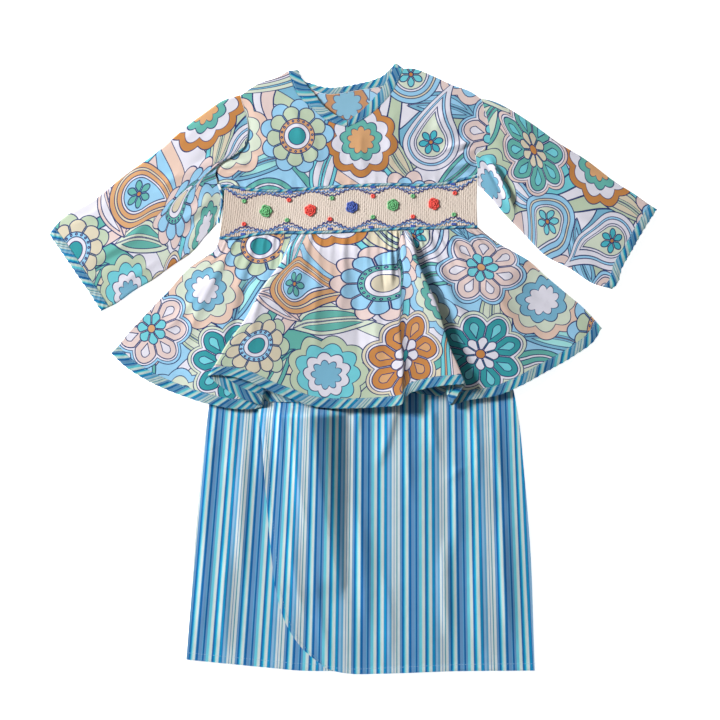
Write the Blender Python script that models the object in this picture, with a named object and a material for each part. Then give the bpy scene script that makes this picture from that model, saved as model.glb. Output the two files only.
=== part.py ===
# Child's baju kurung: a peplum top with a smocked midriff and a wrap skirt, lying flat.
# The skirt lies first, the top lies over its waist, and the floor is z = 0.
# Plan sizes are in millimetres about the set's own centre: x to the right, y to the neck.

import math

import bmesh
import bpy
import numpy as np

mm = 0.001

# Driving dimensions
cloth = 1.0
seamGap = 0.3
bindingExtra = 0.4
layer = cloth + seamGap
hemBindingWidth = 10
hemSeam = 0.6
cuffBindingWidth = 9
pipingRadius = 1.5
sidePipingRadius = 1.2
pipingRoom = pipingRadius + seamGap
pleatCount = 116
pleatDepth = 0.9
smockBase = 1.4
sleeveRadius = 1.8
sleevePuff = 1.6
frontPuff = 2.0
frontPuffEdges = (-120, 115, 190, 300)
frontPuffFades = (60, 60, 30, 70)
skirtWaist = 72
skirtStack = 3 * cloth + 2 * seamGap
restOnSkirt = skirtStack + seamGap
rampStart = 4
rampLength = 46
foldStep = 3.4
peplumEase = 0.5
foldOpening = 0.12
sideReach = 60
pipingSteps = 36
sidePipingSteps = 8
skirtFoldsFrom = (-44, 36)
wrapSettles = (66, 40)
peplumRows = [0, 0.05, 0.11, 0.18, 0.28, 0.42, 0.6, 0.8]
waistbandWall = 1.5
roseRadius = 6.5
roseHeight = 3.2
rosePetals = 5
rosePoints = 15

# Outlines, one row to a point: x, y
shoulderLeft = [(-112.5, 273), (-96, 284), (-74, 292), (-65.3, 297.3)]
shoulderRight = [(51.3, 299.8), (58, 300), (81, 292), (98, 284), (119, 276), (128, 269.5)]
armholeLeft = [(-136, 188), (-137, 196), (-132, 203.5), (-120, 211.5), (-109, 220), (-105, 235), (-112.5, 273)]
armholeRight = [(124.5, 193.5), (123.5, 215), (128, 218), (136, 226), (137, 234), (134, 250), (128, 269.5)]
backSideLeft = [(-134, 130.5), (-130.6, 160), (-131, 176), (-134.6, 188), (-135, 196), (-130, 202.5), (-118, 210.5),
                (-107.4, 219.5), (-103.8, 235), (-112.3, 273)]
backSideRight = [(124.5, 141.7), (123, 175), (122, 212), (133, 227), (133, 240), (128, 269.5)]
neckLeftPanel = [(-65, 297.5), (-62, 288), (-56.5, 275), (-49, 266.5), (-40, 259), (-31, 250.5), (-20, 245),
                 (-5.9, 240.9)]
neckLeftOpen = [(-55.5, 298.5), (-49, 287), (-39, 274.6), (-30, 263), (-19.4, 254.5), (-6, 247.2)]
neckRightPanel = [(51, 300), (46, 288), (37, 273), (25, 260), (11, 249), (-5.1, 240.9)]
neckRightOpen = [(41, 301), (34, 288), (25, 275), (15, 264), (4, 254), (-5.4, 247.3)]
neckBackPanel = [(-62, 295), (-53, 284), (-42, 279), (-33, 275.5), (-23, 274.2), (-7, 276), (7, 278.6),
                 (18, 280), (31, 283), (43, 290), (50, 300)]
neckBackOpen = [(-55, 298.5), (-49, 287.5), (-41, 285), (-33, 282.4), (-20.3, 281), (-10.5, 282.2),
                (7, 285.3), (21, 289), (30, 293), (37, 299.6), (43, 305.8)]
pipingTop = [(-132.6, 182.4), (-121, 181.6), (-109, 179.4), (-89, 177.3), (-69, 177.3), (-53, 178.5), (-21, 181),
             (-3, 182), (37, 183.6), (77, 183.1), (100, 186), (117, 190.5), (124.5, 191.7)]
pipingWaist = [(-134, 130.3), (-115, 130), (-104, 132.6), (-81, 135.4), (-53, 135.5), (-23, 136), (-1, 137),
               (37, 139), (77, 140), (117, 141.2), (124.5, 141.5)]
pipingSide = [(-133.4, 179), (-131.8, 175), (-131, 169.5), (-131.8, 160.5), (-133.6, 151.5), (-134.8, 145)]
bandLeft = [(-134, 132), (-130.2, 155), (-128.4, 180)]
bandRight = [(124.5, 143.3), (123.8, 166), (124.5, 189.9)]
sleeveLeftTop = [(-112.9, 273.4), (-131, 268), (-153, 252), (-173, 236), (-213, 204), (-256, 172),
                 (-300, 140), (-304, 134)]
sleeveLeftUnder = [(-136.7, 144), (-140, 140), (-162, 116), (-208, 84), (-232, 68), (-252, 57)]
sleeveLeftArm = [(-136.7, 144), (-136.2, 151.5), (-133.6, 160.5), (-132.8, 169.5), (-133.6, 176),
                 (-136.6, 187), (-137.6, 196.4), (-132.4, 204.1), (-120.4, 212.1), (-109.5, 220.4), (-105.5, 235),
                 (-113, 273.4)]
sleeveLeftCuff = [(-252, 57), (-264, 76), (-275, 92), (-286, 108), (-297, 124), (-304, 134)]
sleeveRightTop = [(128.4, 269.9), (139, 268), (179, 244), (227, 212), (273, 180), (296, 164), (304, 159)]
sleeveRightUnder = [(125.4, 183), (136, 172), (143, 164), (158, 148), (172, 132), (189, 116), (215, 100),
                    (243, 84), (259, 79)]
sleeveRightArm = [(125.4, 183), (124.9, 200), (124.2, 214.6), (128.5, 217.5), (136.5, 225.6), (137.4, 234),
                  (134.4, 250), (128.4, 269.9)]
sleeveRightCuff = [(259, 79), (264, 84), (269, 100), (278, 116), (287, 132), (304, 159)]
skirtLeft = [(-167, -292), (-162, -228), (-157, -156), (-151, -92), (-144, -36), (-127, 47)]
skirtRight = [(182, -303), (177, -172), (171, -100), (165, -44), (162, -28), (141, 47)]
backSkirtHem = [(-167, -292), (-86, -298), (0, -302), (87, -302), (182, -303)]
underlapHem = [(-167, -292), (-86, -300), (-53, -303), (-20, -303.5), (60, -302)]
underlapEdge = [(60, -302), (60, 47)]
wrapHem = [(-28, -300), (-16, -304), (-3, -306), (27, -306), (87, -304), (182, -303)]
wrapEdge = [(-28, -300), (-53, -278), (-70, -249), (-77, -222), (-83, -172), (-88, -112), (-91, -72),
            (-95, -37), (-97, 47)]
waistbandLeft = [(-127, 47.3), (-123, 72)]
waistbandRight = [(141, 47.3), (135, 72)]
backHem = [(-238, 16), (-180, -17), (-110, -31), (0, -32), (60, -25), (76, -27), (86, -28), (98, -20),
           (150, -16), (220, 17), (246, 39)]
peplumLeft = [(-134, 128.5), (-138, 118), (-152, 108), (-165, 99), (-173, 91), (-184, 78), (-194, 68),
              (-209, 52), (-224, 36), (-237, 20), (-242, 15)]
peplumRight = [(124.5, 139.7), (146, 124), (161, 116), (175, 108), (193, 92), (212, 76), (231, 60), (249, 40)]
roses = [(-87, 157), (-43, 158), (-1, 161), (40, 163), (81, 164)]

# The front peplum hangs from the waist in lines, two of them turning under in an S-fold.
# waist: x at the waist. x, y: its end on the hem. ply: 0 lies below, 2 on top of the fold.
# puff: how far the end stands off. steps: mesh columns to the next line.
peplumLines = [
    # waist, x, y, ply, puff, steps
    (-134, -242, 15, 0, 0, 2),
    (-130, -231, 4, 0, 0.5, 2),
    (-122, -207, -12, 0, 1.5, 3),
    (-110, -170, -28, 0, 1, 2),
    (-98, -144, -36, 0, 1.5, 2),
    (-88, -120, -40.5, 0, 1, 1),
    (-79, -103, -41, 0, 0.5, 1),
    (-72, -94, -39.5, 0, 0, 1),
    (-71, -90.8, -38, 0.12, 0, 1),
    (-70.5, -90, -37.5, 0.38, 0, 1),
    (-70, -90.8, -37, 0.64, 0, 1),
    (-69, -94, -36, 0.82, 0.5, 1),
    (-64, -108, -31.5, 1, 2, 1),
    (-60, -125, -22.5, 1.2, 3.6, 2),
    (-56, -140, -11.5, 1.38, 4.8, 1),
    (-55.2, -143, -9, 1.46, 5.3, 1),
    (-54.6, -144, -8, 1.68, 5.5, 1),
    (-54, -143, -7.3, 1.94, 5.5, 1),
    (-52.8, -140, -7, 2.06, 5.5, 1),
    (-50, -131, -7, 2, 5, 1),
    (-46, -107, -12, 2, 4, 2),
    (-41, -81, -23.5, 1.8, 3, 2),
    (-33, -59, -31.5, 1.6, 2.5, 1),
    (-26, -46, -36.5, 1.4, 2, 1),
    (-12, -23, -40, 1.2, 1.5, 2),
    (4, 2, -40, 1, 2.5, 2),
    (25, 32, -38.5, 1, 4.5, 2),
    (38, 45, -37, 1, 7.5, 1),
    (43, 48.5, -36, 1, 8.5, 1),
    (45, 51, -31, 1, 7, 1),
    (47, 56, -25.5, 1.1, 4.5, 1),
    (49, 66, -22, 1.3, 4, 1),
    (50.5, 79, -19, 1.6, 4.5, 1),
    (52, 94, -17, 1.9, 6, 1),
    (53, 104, -16.2, 2, 6.5, 1),
    (53.5, 109, -15.8, 2, 6.5, 1),
    (54, 110.8, -16, 1.85, 6.5, 1),
    (54.5, 111.3, -16.6, 1.5, 6.5, 1),
    (55, 110.6, -18, 1.2, 6, 1),
    (56, 107.5, -22, 1, 4.5, 1),
    (57, 103, -29, 1, 3, 1),
    (58, 98.5, -35, 1, 1, 1),
    (58.6, 97.2, -36.3, 0.85, 0.5, 1),
    (59, 96.8, -36.8, 0.5, 0.2, 1),
    (59.5, 97.4, -37, 0.15, 0, 1),
    (61, 100.5, -36.6, 0, 0, 1),
    (66, 112, -33, 0, 0.5, 2),
    (78, 147, -26.5, 0, 1.5, 2),
    (88, 163, -20, 0, 2, 2),
    (100, 193, -4, 0, 2, 2),
    (110, 221, 12, 0, 1.5, 2),
    (120, 242, 28, 0, 0.5, 1),
    (124.5, 249, 40, 0, 0, 0),
]

# Soft folds that stand off the cloth: from x, y to x, y, how wide, how high
bodiceFolds = [
    # x0, y0, x1, y1, width, height
    (-137, 200, -108, 204, 4, 1.6),
    (128, 214, 96, 222, 7, 1.6),
    (122, 205, 88, 208, 6, 1.4),
    (-98, 262, -84, 214, 12, 1.2),
    (104, 262, 92, 230, 12, 1.4),
]
skirtFolds = [
    (-88, -80, -60, -270, 16, 1.6),
    (-20, -70, -14, -290, 22, 1.4),
    (62, -70, 70, -290, 24, 1.8),
    (126, -60, 138, -280, 20, 1.4),
]
underlapFolds = [
    (-124, -90, -132, -270, 14, 1.2),
]

# Colours and surfaces
prints = {"colour": (0.45, 0.68, 0.70), "roughness": 0.85}
stripes = {"colour": (0.20, 0.42, 0.66), "roughness": 0.85}
smocking = {"colour": (0.76, 0.66, 0.50), "roughness": 0.9}
green = {"colour": (0.10, 0.42, 0.16), "roughness": 0.6}
red = {"colour": (0.80, 0.08, 0.06), "roughness": 0.6}
blue = {"colour": (0.05, 0.10, 0.45), "roughness": 0.6}


# Lines and surfaces

def smoothed(rows, steps=None):
    # Points on a smooth line through the rows; x and y come first, and set the spacing
    rows = np.array(rows, float)
    steps = steps or [8] * (len(rows) - 1)
    spans = np.linalg.norm(np.diff(rows[:, :2], axis=0), axis=1)
    slopes = np.gradient(rows, np.concatenate([[0], np.cumsum(spans)]), axis=0)
    pieces = []
    for i, span in enumerate(spans):
        share = np.linspace(0, 1, steps[i], endpoint=False)[:, None]
        leave = share * (1 - share) ** 2 * span * slopes[i]
        arrive = share ** 2 * (share - 1) * span * slopes[i + 1]
        pieces.append(rows[i] + ease(share) * (rows[i + 1] - rows[i]) + leave + arrive)
    return np.concatenate(pieces + [rows[-1:]])


def ease(share):
    share = np.clip(share, 0, 1)
    return share * share * (3 - 2 * share)


def rail(rows):
    # A smooth line through the rows, read by the share of its length
    points = smoothed(rows) if len(rows) > 2 else np.array(rows, float)
    reach = np.concatenate([[0], np.cumsum(np.linalg.norm(np.diff(points, axis=0), axis=1))])
    return lambda share: np.stack([np.interp(share, reach / reach[-1], axis) for axis in points.T], axis=-1)


def chain(*parts):
    # Rails joined at corners: each part is the share at which it ends, and its rail
    def read(share):
        share = np.asarray(share, float)
        found = np.zeros(share.shape + (2,))
        start = 0
        for end, line in parts:
            here = (share >= start - 1e-9) & (share <= end + 1e-9)
            found[here] = line((share[here] - start) / (end - start))
            start = end
        return found
    return read


def moved(rows, dx, dy):
    return [(x + dx, y + dy) for x, y in rows]


def besidePiping(rows, room, left, right):
    # The rail of a panel's edge along a piping, from x at its left end to x at its right end
    line = rail(rows)(np.linspace(0, 1, pipingSteps + 1))
    inside = line[(line[:, 0] > left + 1) & (line[:, 0] < right - 1)]
    ends = [(x, np.interp(x, line[:, 0], line[:, 1])) for x in (left, right)]
    points = np.array([ends[0], *inside, ends[1]]) + (0, room)
    return lambda share: np.stack([
        left + share * (right - left),
        np.interp(left + share * (right - left), points[:, 0], points[:, 1]),
    ], axis=-1)


def lattice(columns, rows):
    return np.meshgrid(np.linspace(0, 1, columns + 1), np.linspace(0, 1, rows + 1))


def bend(line, along):
    # How far a rail strays from the straight line between its ends
    return line(along[..., 0]) - (1 - along) * line(0.0) - along * line(1.0)


def patch(south, north, west, east, across, along):
    # The smooth surface between four rails, at shares across and along it
    right, up = across[..., None], along[..., None]
    ruled = (1 - up) * south(across) + up * north(across)
    return ruled + (1 - right) * bend(west, up) + right * bend(east, up)


def raised(plan, height):
    height = np.broadcast_to(height, plan.shape[:2])
    return np.concatenate([plan, height[..., None]], axis=2)


def shifted(grid, distance):
    # A grid moved out along its own normals
    normal = np.cross(np.gradient(grid, axis=0), np.gradient(grid, axis=1))
    normal /= np.linalg.norm(normal, axis=2, keepdims=True)
    return grid + distance * normal


def foldHeight(table, x, y):
    # How far the folds of a table lift the cloth at each plan point
    total = np.zeros(np.shape(x))
    for x0, y0, x1, y1, width, height in table:
        length = math.hypot(x1 - x0, y1 - y0)
        along = ((x - x0) * (x1 - x0) + (y - y0) * (y1 - y0)) / length
        aside = ((x - x0) * (y1 - y0) - (y - y0) * (x1 - x0)) / length
        taper = ease((along + width) / (2 * width)) * ease((length - along + width) / (2 * width))
        total += height * taper * np.exp(-(aside / width) ** 2)
    return total


def liftOverSkirt(plan):
    # The top's underside: on the floor beside the skirt, on the skirt over it
    x, y = plan[..., 0], plan[..., 1]
    left, right = np.array(skirtLeft + waistbandLeft), np.array(skirtRight + waistbandRight)
    outside = np.maximum.reduce([
        y - skirtWaist,
        np.interp(y, left[:, 1], left[:, 0]) - x,
        x - np.interp(y, right[:, 1], right[:, 0]),
    ])
    return restOnSkirt * (1 - ease((outside - rampStart) / rampLength))


def bodiceRise(plan):
    x, y = plan[..., 0], plan[..., 1]
    left, right, bottom, top = frontPuffEdges
    inside = 1
    for distance, fade in zip((x - left, right - x, y - bottom, top - y), frontPuffFades):
        inside = inside * ease(distance / fade)
    return frontPuff * inside + foldHeight(bodiceFolds, x, y)


def skirtRise(plan, folds):
    # The skirt's folds fade out before they reach the top
    x, y = plan[..., 0], plan[..., 1]
    start, fade = skirtFoldsFrom
    return foldHeight(folds, x, y) * ease((start - y) / fade)


# Making objects

def makeMaterial(name, look):
    material = bpy.data.materials.new(name)
    material.use_nodes = True
    shader = material.node_tree.nodes["Principled BSDF"]
    shader.inputs["Base Color"].default_value = (*look["colour"], 1)
    shader.inputs["Roughness"].default_value = look["roughness"]
    shader.inputs["Metallic"].default_value = 0
    material.diffuse_color = (*look["colour"], 1)
    return material


def addObject(name, points, faces, look):
    mesh = bpy.data.meshes.new(name)
    mesh.from_pydata((points * mm).tolist(), [], faces)
    shape = bmesh.new()
    shape.from_mesh(mesh)
    bmesh.ops.recalc_face_normals(shape, faces=shape.faces)
    shape.to_mesh(mesh)
    shape.free()
    mesh.shade_smooth()
    mesh.materials.append(makeMaterial(name, look))
    bpy.context.collection.objects.link(bpy.data.objects.new(name, mesh))


def quads(first, second):
    # Faces between two runs of point numbers
    return [(a, b, d, c) for a, b, c, d in zip(first, first[1:], second, second[1:])]


def addWall(name, under, over, look):
    # One closed wall of cloth between two grids of points, rows running to the neck
    rows, columns = over.shape[:2]
    upper = np.arange(rows * columns).reshape(rows, columns)
    rim = [*upper[0], *upper[1:, -1], *upper[-1, -2::-1], *upper[-2::-1, 0]]
    rim = [int(i) for i in rim]
    upper = upper.tolist()
    below = rows * columns
    faces = quads([i + below for i in rim], rim)
    for near, far in zip(upper, upper[1:]):
        faces += quads(near, far)
        faces += quads([i + below for i in far], [i + below for i in near])
    addObject(name, np.concatenate([over.reshape(-1, 3), under.reshape(-1, 3)]), faces, look)


def addTube(name, outer, inner, look):
    # A tube of cloth open at both ends, from rings of points
    rings, around = outer.shape[:2]
    outside = np.arange(rings * around).reshape(rings, around)
    outside = np.concatenate([outside, outside[:, :1]], axis=1).tolist()
    inside = [[i + rings * around for i in ring] for ring in outside]
    faces = quads(inside[0], outside[0]) + quads(outside[-1], inside[-1])
    for i in range(rings - 1):
        faces += quads(outside[i], outside[i + 1])
        faces += quads(inside[i + 1], inside[i])
    addObject(name, np.concatenate([outer.reshape(-1, 3), inner.reshape(-1, 3)]), faces, look)


def addFlatTube(name, sides, ends, shares, size, look):
    # A tube pressed flat on the floor. sides: the rails of its two silhouettes, right-hand one
    # first. ends: the rails across its two ends. shares: the part of its length that it covers,
    # as a function of the share across.
    start = np.linspace(0, 1, size["rings"] + 1)[:, None]
    radius, wall, puff = size["radius"], size["wall"], size["puff"]
    breadth = np.linalg.norm(sides[1](start[:, 0]) - sides[0](start[:, 0]), axis=1)[:, None]
    loops = []
    for inset in (0, wall):
        turn = radius - inset
        face = np.array([0, 0.04, 0.13, 0.24, 0.35, 0.46, 0.57, 0.68, 0.8, 0.92, 1])
        arc = np.radians([45, 90, 135])
        flat = radius + face * (breadth - 2 * radius)
        bulge = puff * np.sin(np.pi * face)
        from_edge = np.concatenate([
            flat,
            breadth - radius + turn * np.sin(arc),
            flat[:, ::-1],
            np.broadcast_to(radius - turn * np.sin(arc), (len(breadth), 3)),
        ], axis=1)
        height = np.concatenate([
            np.full(len(face), radius - turn),
            radius - turn * np.cos(arc),
            radius + turn + bulge,
            radius + turn * np.cos(arc),
        ])
        across = from_edge / breadth
        begin, end = shares(across)
        along = begin + start * (end - begin)
        plan = patch(ends[0], ends[1], sides[0], sides[1], across, along)
        loops.append(raised(plan, height[None, :]))
    addTube(name, loops[0], loops[1], look)


def addPiping(name, rows, radius, steps):
    curve = bpy.data.curves.new(name, "CURVE")
    curve.dimensions = "3D"
    curve.bevel_depth = radius * mm
    curve.bevel_resolution = 1
    curve.use_fill_caps = True
    spline = curve.splines.new("POLY")
    spline.points.add(steps)
    for point, (x, y) in zip(spline.points, rail(rows)(np.linspace(0, 1, steps + 1))):
        point.co = (x * mm, y * mm, (layer + radius) * mm, 1)
    curve.materials.append(makeMaterial(name, stripes))
    bpy.context.collection.objects.link(bpy.data.objects.new(name, curve))


# The skirt

def makeSkirt():
    panels = [
        # name, hem, left side, right side, columns, folds
        ("skirt_back", backSkirtHem, skirtLeft, skirtRight, 10, []),
        ("skirt_underlap", underlapHem, skirtLeft, underlapEdge, 12, underlapFolds),
        ("skirt_wrap", wrapHem, wrapEdge, skirtRight, 14, skirtFolds),
    ]
    for name, hem, left, right, columns, folds in panels:
        across, along = lattice(columns, 14)
        waist = rail([left[-1], right[-1]])
        plan = patch(rail(hem), waist, rail(left), rail(right), across, along)
        under = np.zeros(plan.shape[:2])
        if name != "skirt_back":
            under += layer + skirtRise(plan, folds)
        if name == "skirt_wrap":
            under += layer * (1 - ease((plan[..., 0] - wrapSettles[0]) / wrapSettles[1]))
        addWall(name, raised(plan, under), raised(plan, under + cloth), stripes)
    size = {"rings": 3, "radius": skirtStack / 2, "wall": waistbandWall, "puff": 0}
    sides = rail(waistbandLeft), rail(waistbandRight)
    ends = rail([waistbandLeft[0], waistbandRight[0]]), rail([waistbandLeft[1], waistbandRight[1]])
    addFlatTube("skirt_waistband", sides, ends, lambda across: (0, 1), size, stripes)


# The top's body

def makeBodiceFront():
    across, along = lattice(20, 9)
    north = chain(
        (0.2, rail(shoulderLeft)),
        (0.5, rail(neckLeftPanel)),
        (0.8, rail(neckRightPanel[::-1])),
        (1, rail(shoulderRight)),
    )
    south = besidePiping(pipingTop, pipingRoom, armholeLeft[0][0], armholeRight[0][0])
    plan = patch(south, north, rail(armholeLeft), rail(armholeRight), across, along)
    under = layer + bodiceRise(plan)
    addWall("bodice_front", raised(plan, under), raised(plan, under + cloth), prints)


def makeBodiceBack():
    across, along = lattice(20, 14)
    north = chain(
        (0.2, rail(shoulderLeft)),
        (0.8, rail(neckBackPanel)),
        (1, rail(shoulderRight)),
    )
    south = besidePiping(pipingWaist, seamGap / 2, backSideLeft[0][0], backSideRight[0][0])
    plan = patch(south, north, rail(backSideLeft), rail(backSideRight), across, along)
    addWall("bodice_back", raised(plan, 0), raised(plan, cloth), prints)


def makeNeckBindings():
    bindings = [
        # name, seam with the panel, open edge, height of its underside, columns as on the panel
        ("neck_binding_left", neckLeftPanel, neckLeftOpen, layer, 6),
        ("neck_binding_right", neckRightPanel[::-1], neckRightOpen[::-1], layer, 6),
        ("neck_binding_back", neckBackPanel, neckBackOpen, 0, 12),
    ]
    for name, seam, opening, bottom, columns in bindings:
        across, along = lattice(columns, 1)
        seam, opening = rail(seam)(across), rail(opening)(across)
        width = np.linalg.norm(opening - seam, axis=2)
        along = seamGap / width + along * (1 - seamGap / width)
        plan = seam + along[..., None] * (opening - seam)
        under = bottom + bodiceRise(plan) * (bottom > 0)
        top = under + cloth + bindingExtra * (bottom > 0)
        addWall(name, raised(plan, under), raised(plan, top), stripes)


def makeSmockedBand():
    # Pleats outside, plain inside
    across, along = lattice(2 * pleatCount, 2)
    south = besidePiping(pipingWaist, pipingRoom, bandLeft[0][0], bandRight[0][0])
    north = besidePiping(pipingTop, -pipingRoom, bandLeft[-1][0], bandRight[-1][0])
    plan = patch(south, north, rail(bandLeft), rail(bandRight), across, along)
    pleats = np.arange(2 * pleatCount + 1) % 2 * pleatDepth
    addWall("smocked_band", raised(plan, layer), raised(plan, layer + smockBase + pleats), smocking)


# The sleeves

def makeSleeves():
    sleeves = [
        # side, underarm, top, armhole, cuff
        ("left", sleeveLeftUnder, sleeveLeftTop, sleeveLeftArm, sleeveLeftCuff),
        ("right", sleeveRightUnder, sleeveRightTop, sleeveRightArm, sleeveRightCuff),
    ]
    sleeve = {"rings": 7, "radius": sleeveRadius, "wall": cloth, "puff": sleevePuff}
    cuff = {"rings": 1, "radius": sleeveRadius + bindingExtra / 2, "wall": cloth + bindingExtra, "puff": sleevePuff}
    for side, *rows in sleeves:
        under, top, arm, end = [rail(line) for line in rows]
        lengths = [np.linalg.norm(line(1.0) - line(0.0)) for line in (under, top)]
        length = lambda across: lengths[0] + across * (lengths[1] - lengths[0])
        body = lambda across: (0, 1 - (cuffBindingWidth + seamGap) / length(across))
        edge = lambda across: (1 - cuffBindingWidth / length(across), 1)
        addFlatTube(f"sleeve_{side}", (under, top), (arm, end), body, sleeve, prints)
        addFlatTube(f"cuff_binding_{side}", (under, top), (arm, end), edge, cuff, stripes)


# The peplum

def peplumGrid():
    # The middle of the front peplum's cloth; its binding starts at the third row
    table = np.array([row[:-1] for row in peplumLines], float)
    steps = [row[-1] for row in peplumLines[:-1]]
    x, y, waist, ply, puff = smoothed(table[:, [1, 2, 0, 3, 4]], steps).T
    left, right = waist[0], waist[-1]
    start = besidePiping(pipingWaist, -pipingRoom, left, right)((waist - left) / (right - left))
    end = np.stack([x, y], axis=-1)
    length = np.linalg.norm(end - start, axis=1)
    bindingAt = 1 - hemBindingWidth / length
    along = np.array([*(np.array(peplumRows)[:, None] * bindingAt), bindingAt, (1 + bindingAt) / 2, bindingAt ** 0])
    plan = start + along[..., None] * (end - start)
    for edge, column in ((peplumLeft, 0), (peplumRight, -1)):
        away = np.linalg.norm(end - end[column], axis=1)
        plan += bend(rail(edge), along[..., None]) * (1 - ease(away / sideReach))[:, None]
    height = liftOverSkirt(plan) + layer + peplumEase + cloth / 2
    height = height + foldStep * ply * ease(along / foldOpening) + puff * along
    return raised(plan, height)[::-1]


def makePeplumFront():
    grid = peplumGrid()
    under, over = [shifted(grid, side * cloth / 2)[2:] for side in (-1, 1)]
    addWall("peplum_front", under, over, prints)
    walls = []
    for side in (-1, 1):
        wall = shifted(grid, side * (cloth + bindingExtra) / 2)[:3]
        wall[2] += (wall[1] - wall[2]) * hemSeam / (hemBindingWidth / 2)
        walls.append(wall)
    addWall("hem_binding_front", *walls, stripes)


def makePeplumBack():
    across, along = lattice(26, 9)
    north = besidePiping(pipingWaist, -seamGap / 2, peplumLeft[0][0], peplumRight[0][0])
    rails = rail(backHem), north, rail(peplumLeft[::-1]), rail(peplumRight[::-1])
    length = np.linalg.norm(rails[1](across) - rails[0](across), axis=2)
    bound = hemBindingWidth / length
    panel = patch(*rails, across, bound + along * (1 - bound))
    height = liftOverSkirt(panel)
    addWall("peplum_back", raised(panel, height), raised(panel, height + cloth), prints)
    strip = patch(*rails, across[:3], along[:3] / along[2] * (bound[:3] - seamGap / length[:3]))
    height = liftOverSkirt(strip)
    addWall("hem_binding_back", raised(strip, height), raised(strip, height + cloth + bindingExtra / 2), stripes)


# The embroidery that stands off the smocking

def makeRose(name, x, y, look):
    rings = [
        # share of the radius, share of the height, lobes in and out
        (0.96, 0, 0.06),
        (1, 0.45, 0.1),
        (0.74, 0.86, -0.08),
        (0.5, 0.74, 0.1),
        (0.24, 1, 0),
    ]
    turns = np.arange(rosePoints) * 2 * math.pi / rosePoints
    points = [(x, y, 0)]
    for share, rise, lobe in rings:
        radius = roseRadius * share * (1 + lobe * np.cos(rosePetals * turns))
        points += [(x + r * math.cos(a), y + r * math.sin(a), roseHeight * rise) for r, a in zip(radius, turns)]
    points.append((x, y, roseHeight * 0.8))
    base = layer + smockBase + pleatDepth + seamGap
    loops = [[1 + rosePoints * ring + i % rosePoints for i in range(rosePoints + 1)] for ring in range(len(rings))]
    faces = [(0, b, a) for a, b in zip(loops[0], loops[0][1:])]
    for lower, upper in zip(loops, loops[1:]):
        faces += quads(lower, upper)
    faces += [(a, b, len(points) - 1) for a, b in zip(loops[-1], loops[-1][1:])]
    addObject(name, np.array(points) + (0, 0, base), faces, look)


def main():
    for item in list(bpy.data.objects):
        bpy.data.objects.remove(item, do_unlink=True)
    makeSkirt()
    makeBodiceBack()
    makeBodiceFront()
    makeSmockedBand()
    makeNeckBindings()
    makeSleeves()
    makePeplumBack()
    makePeplumFront()
    addPiping("piping_top", pipingTop, pipingRadius, pipingSteps)
    addPiping("piping_waist", pipingWaist, pipingRadius, pipingSteps)
    addPiping("piping_side", pipingSide, sidePipingRadius, sidePipingSteps)
    for number, ((x, y), look) in enumerate(zip(roses, (green, red, blue, green, red)), start=1):
        makeRose(f"smock_rose_{number}", x, y, look)


main()
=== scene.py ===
import math

import bmesh
import bpy
import numpy as np
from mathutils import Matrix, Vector


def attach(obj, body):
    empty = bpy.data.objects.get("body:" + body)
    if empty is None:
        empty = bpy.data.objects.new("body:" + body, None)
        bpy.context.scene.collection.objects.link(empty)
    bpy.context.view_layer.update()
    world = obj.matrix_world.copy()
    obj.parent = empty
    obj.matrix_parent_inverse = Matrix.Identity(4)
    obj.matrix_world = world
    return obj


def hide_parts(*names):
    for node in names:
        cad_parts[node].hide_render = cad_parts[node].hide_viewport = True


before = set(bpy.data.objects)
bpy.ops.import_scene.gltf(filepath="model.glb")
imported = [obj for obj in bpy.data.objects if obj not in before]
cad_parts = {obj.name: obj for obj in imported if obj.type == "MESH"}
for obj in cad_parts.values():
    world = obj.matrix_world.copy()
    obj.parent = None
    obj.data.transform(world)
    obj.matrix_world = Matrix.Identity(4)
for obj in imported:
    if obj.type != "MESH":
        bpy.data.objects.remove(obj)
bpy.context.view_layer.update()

# Child's baju kurung laid flat: a peplum top with a smocked midriff over a striped wrap skirt.
# Sizes are in millimetres about the set's own centre: x to the right, y to the neck, floor at 0.

mm = 0.001
seamGap = 0.3
layer = 1.3  # one cloth of the part, with its gap
shell = 0.8  # how thick the shown cloth is
skirtStack = 3.6
restOnSkirt = skirtStack + seamGap
pipingRoom = 1.8  # from a piping's middle to the edge of the cloth beside it
skirtDrape = (4, 46)  # where beside the skirt the top starts to settle, and over what distance

# Outlines, one row to a point: x, y
shoulderLeft = [(-112.5, 273), (-96, 284), (-74, 292), (-65.3, 297.3)]
shoulderRight = [(51.3, 299.8), (58, 300), (81, 292), (98, 284), (119, 276), (128, 269.5)]
backSideLeft = [
    (-134, 130.5), (-130.6, 160), (-131, 176), (-134.6, 188), (-135, 196), (-130, 202.5), (-118, 210.5),
    (-107.4, 219.5), (-103.8, 235), (-112.3, 273),
]
backSideRight = [(124.5, 141.7), (123, 175), (122, 212), (133, 227), (133, 240), (128, 269.5)]
neckLeftPanel = [
    (-65, 297.5), (-62, 288), (-56.5, 275), (-49, 266.5), (-40, 259), (-31, 250.5), (-20, 245), (-5.9, 240.9),
]
neckLeftOpen = [(-55.5, 298.5), (-49, 287), (-39, 274.6), (-30, 263), (-19.4, 254.5), (-6, 247.2)]
neckRightPanel = [(51, 300), (46, 288), (37, 273), (25, 260), (11, 249), (-5.1, 240.9)]
neckRightOpen = [(41, 301), (34, 288), (25, 275), (15, 264), (4, 254), (-5.4, 247.3)]
neckBackPanel = [
    (-62, 295), (-53, 284), (-42, 279), (-33, 275.5), (-23, 274.2), (-7, 276), (7, 278.6), (18, 280),
    (31, 283), (43, 290), (50, 300),
]
neckBackOpen = [
    (-55, 298.5), (-49, 287.5), (-41, 285), (-33, 282.4), (-20.3, 281), (-10.5, 282.2), (7, 285.3), (21, 289),
    (30, 293), (37, 299.6), (43, 305.8),
]
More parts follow.
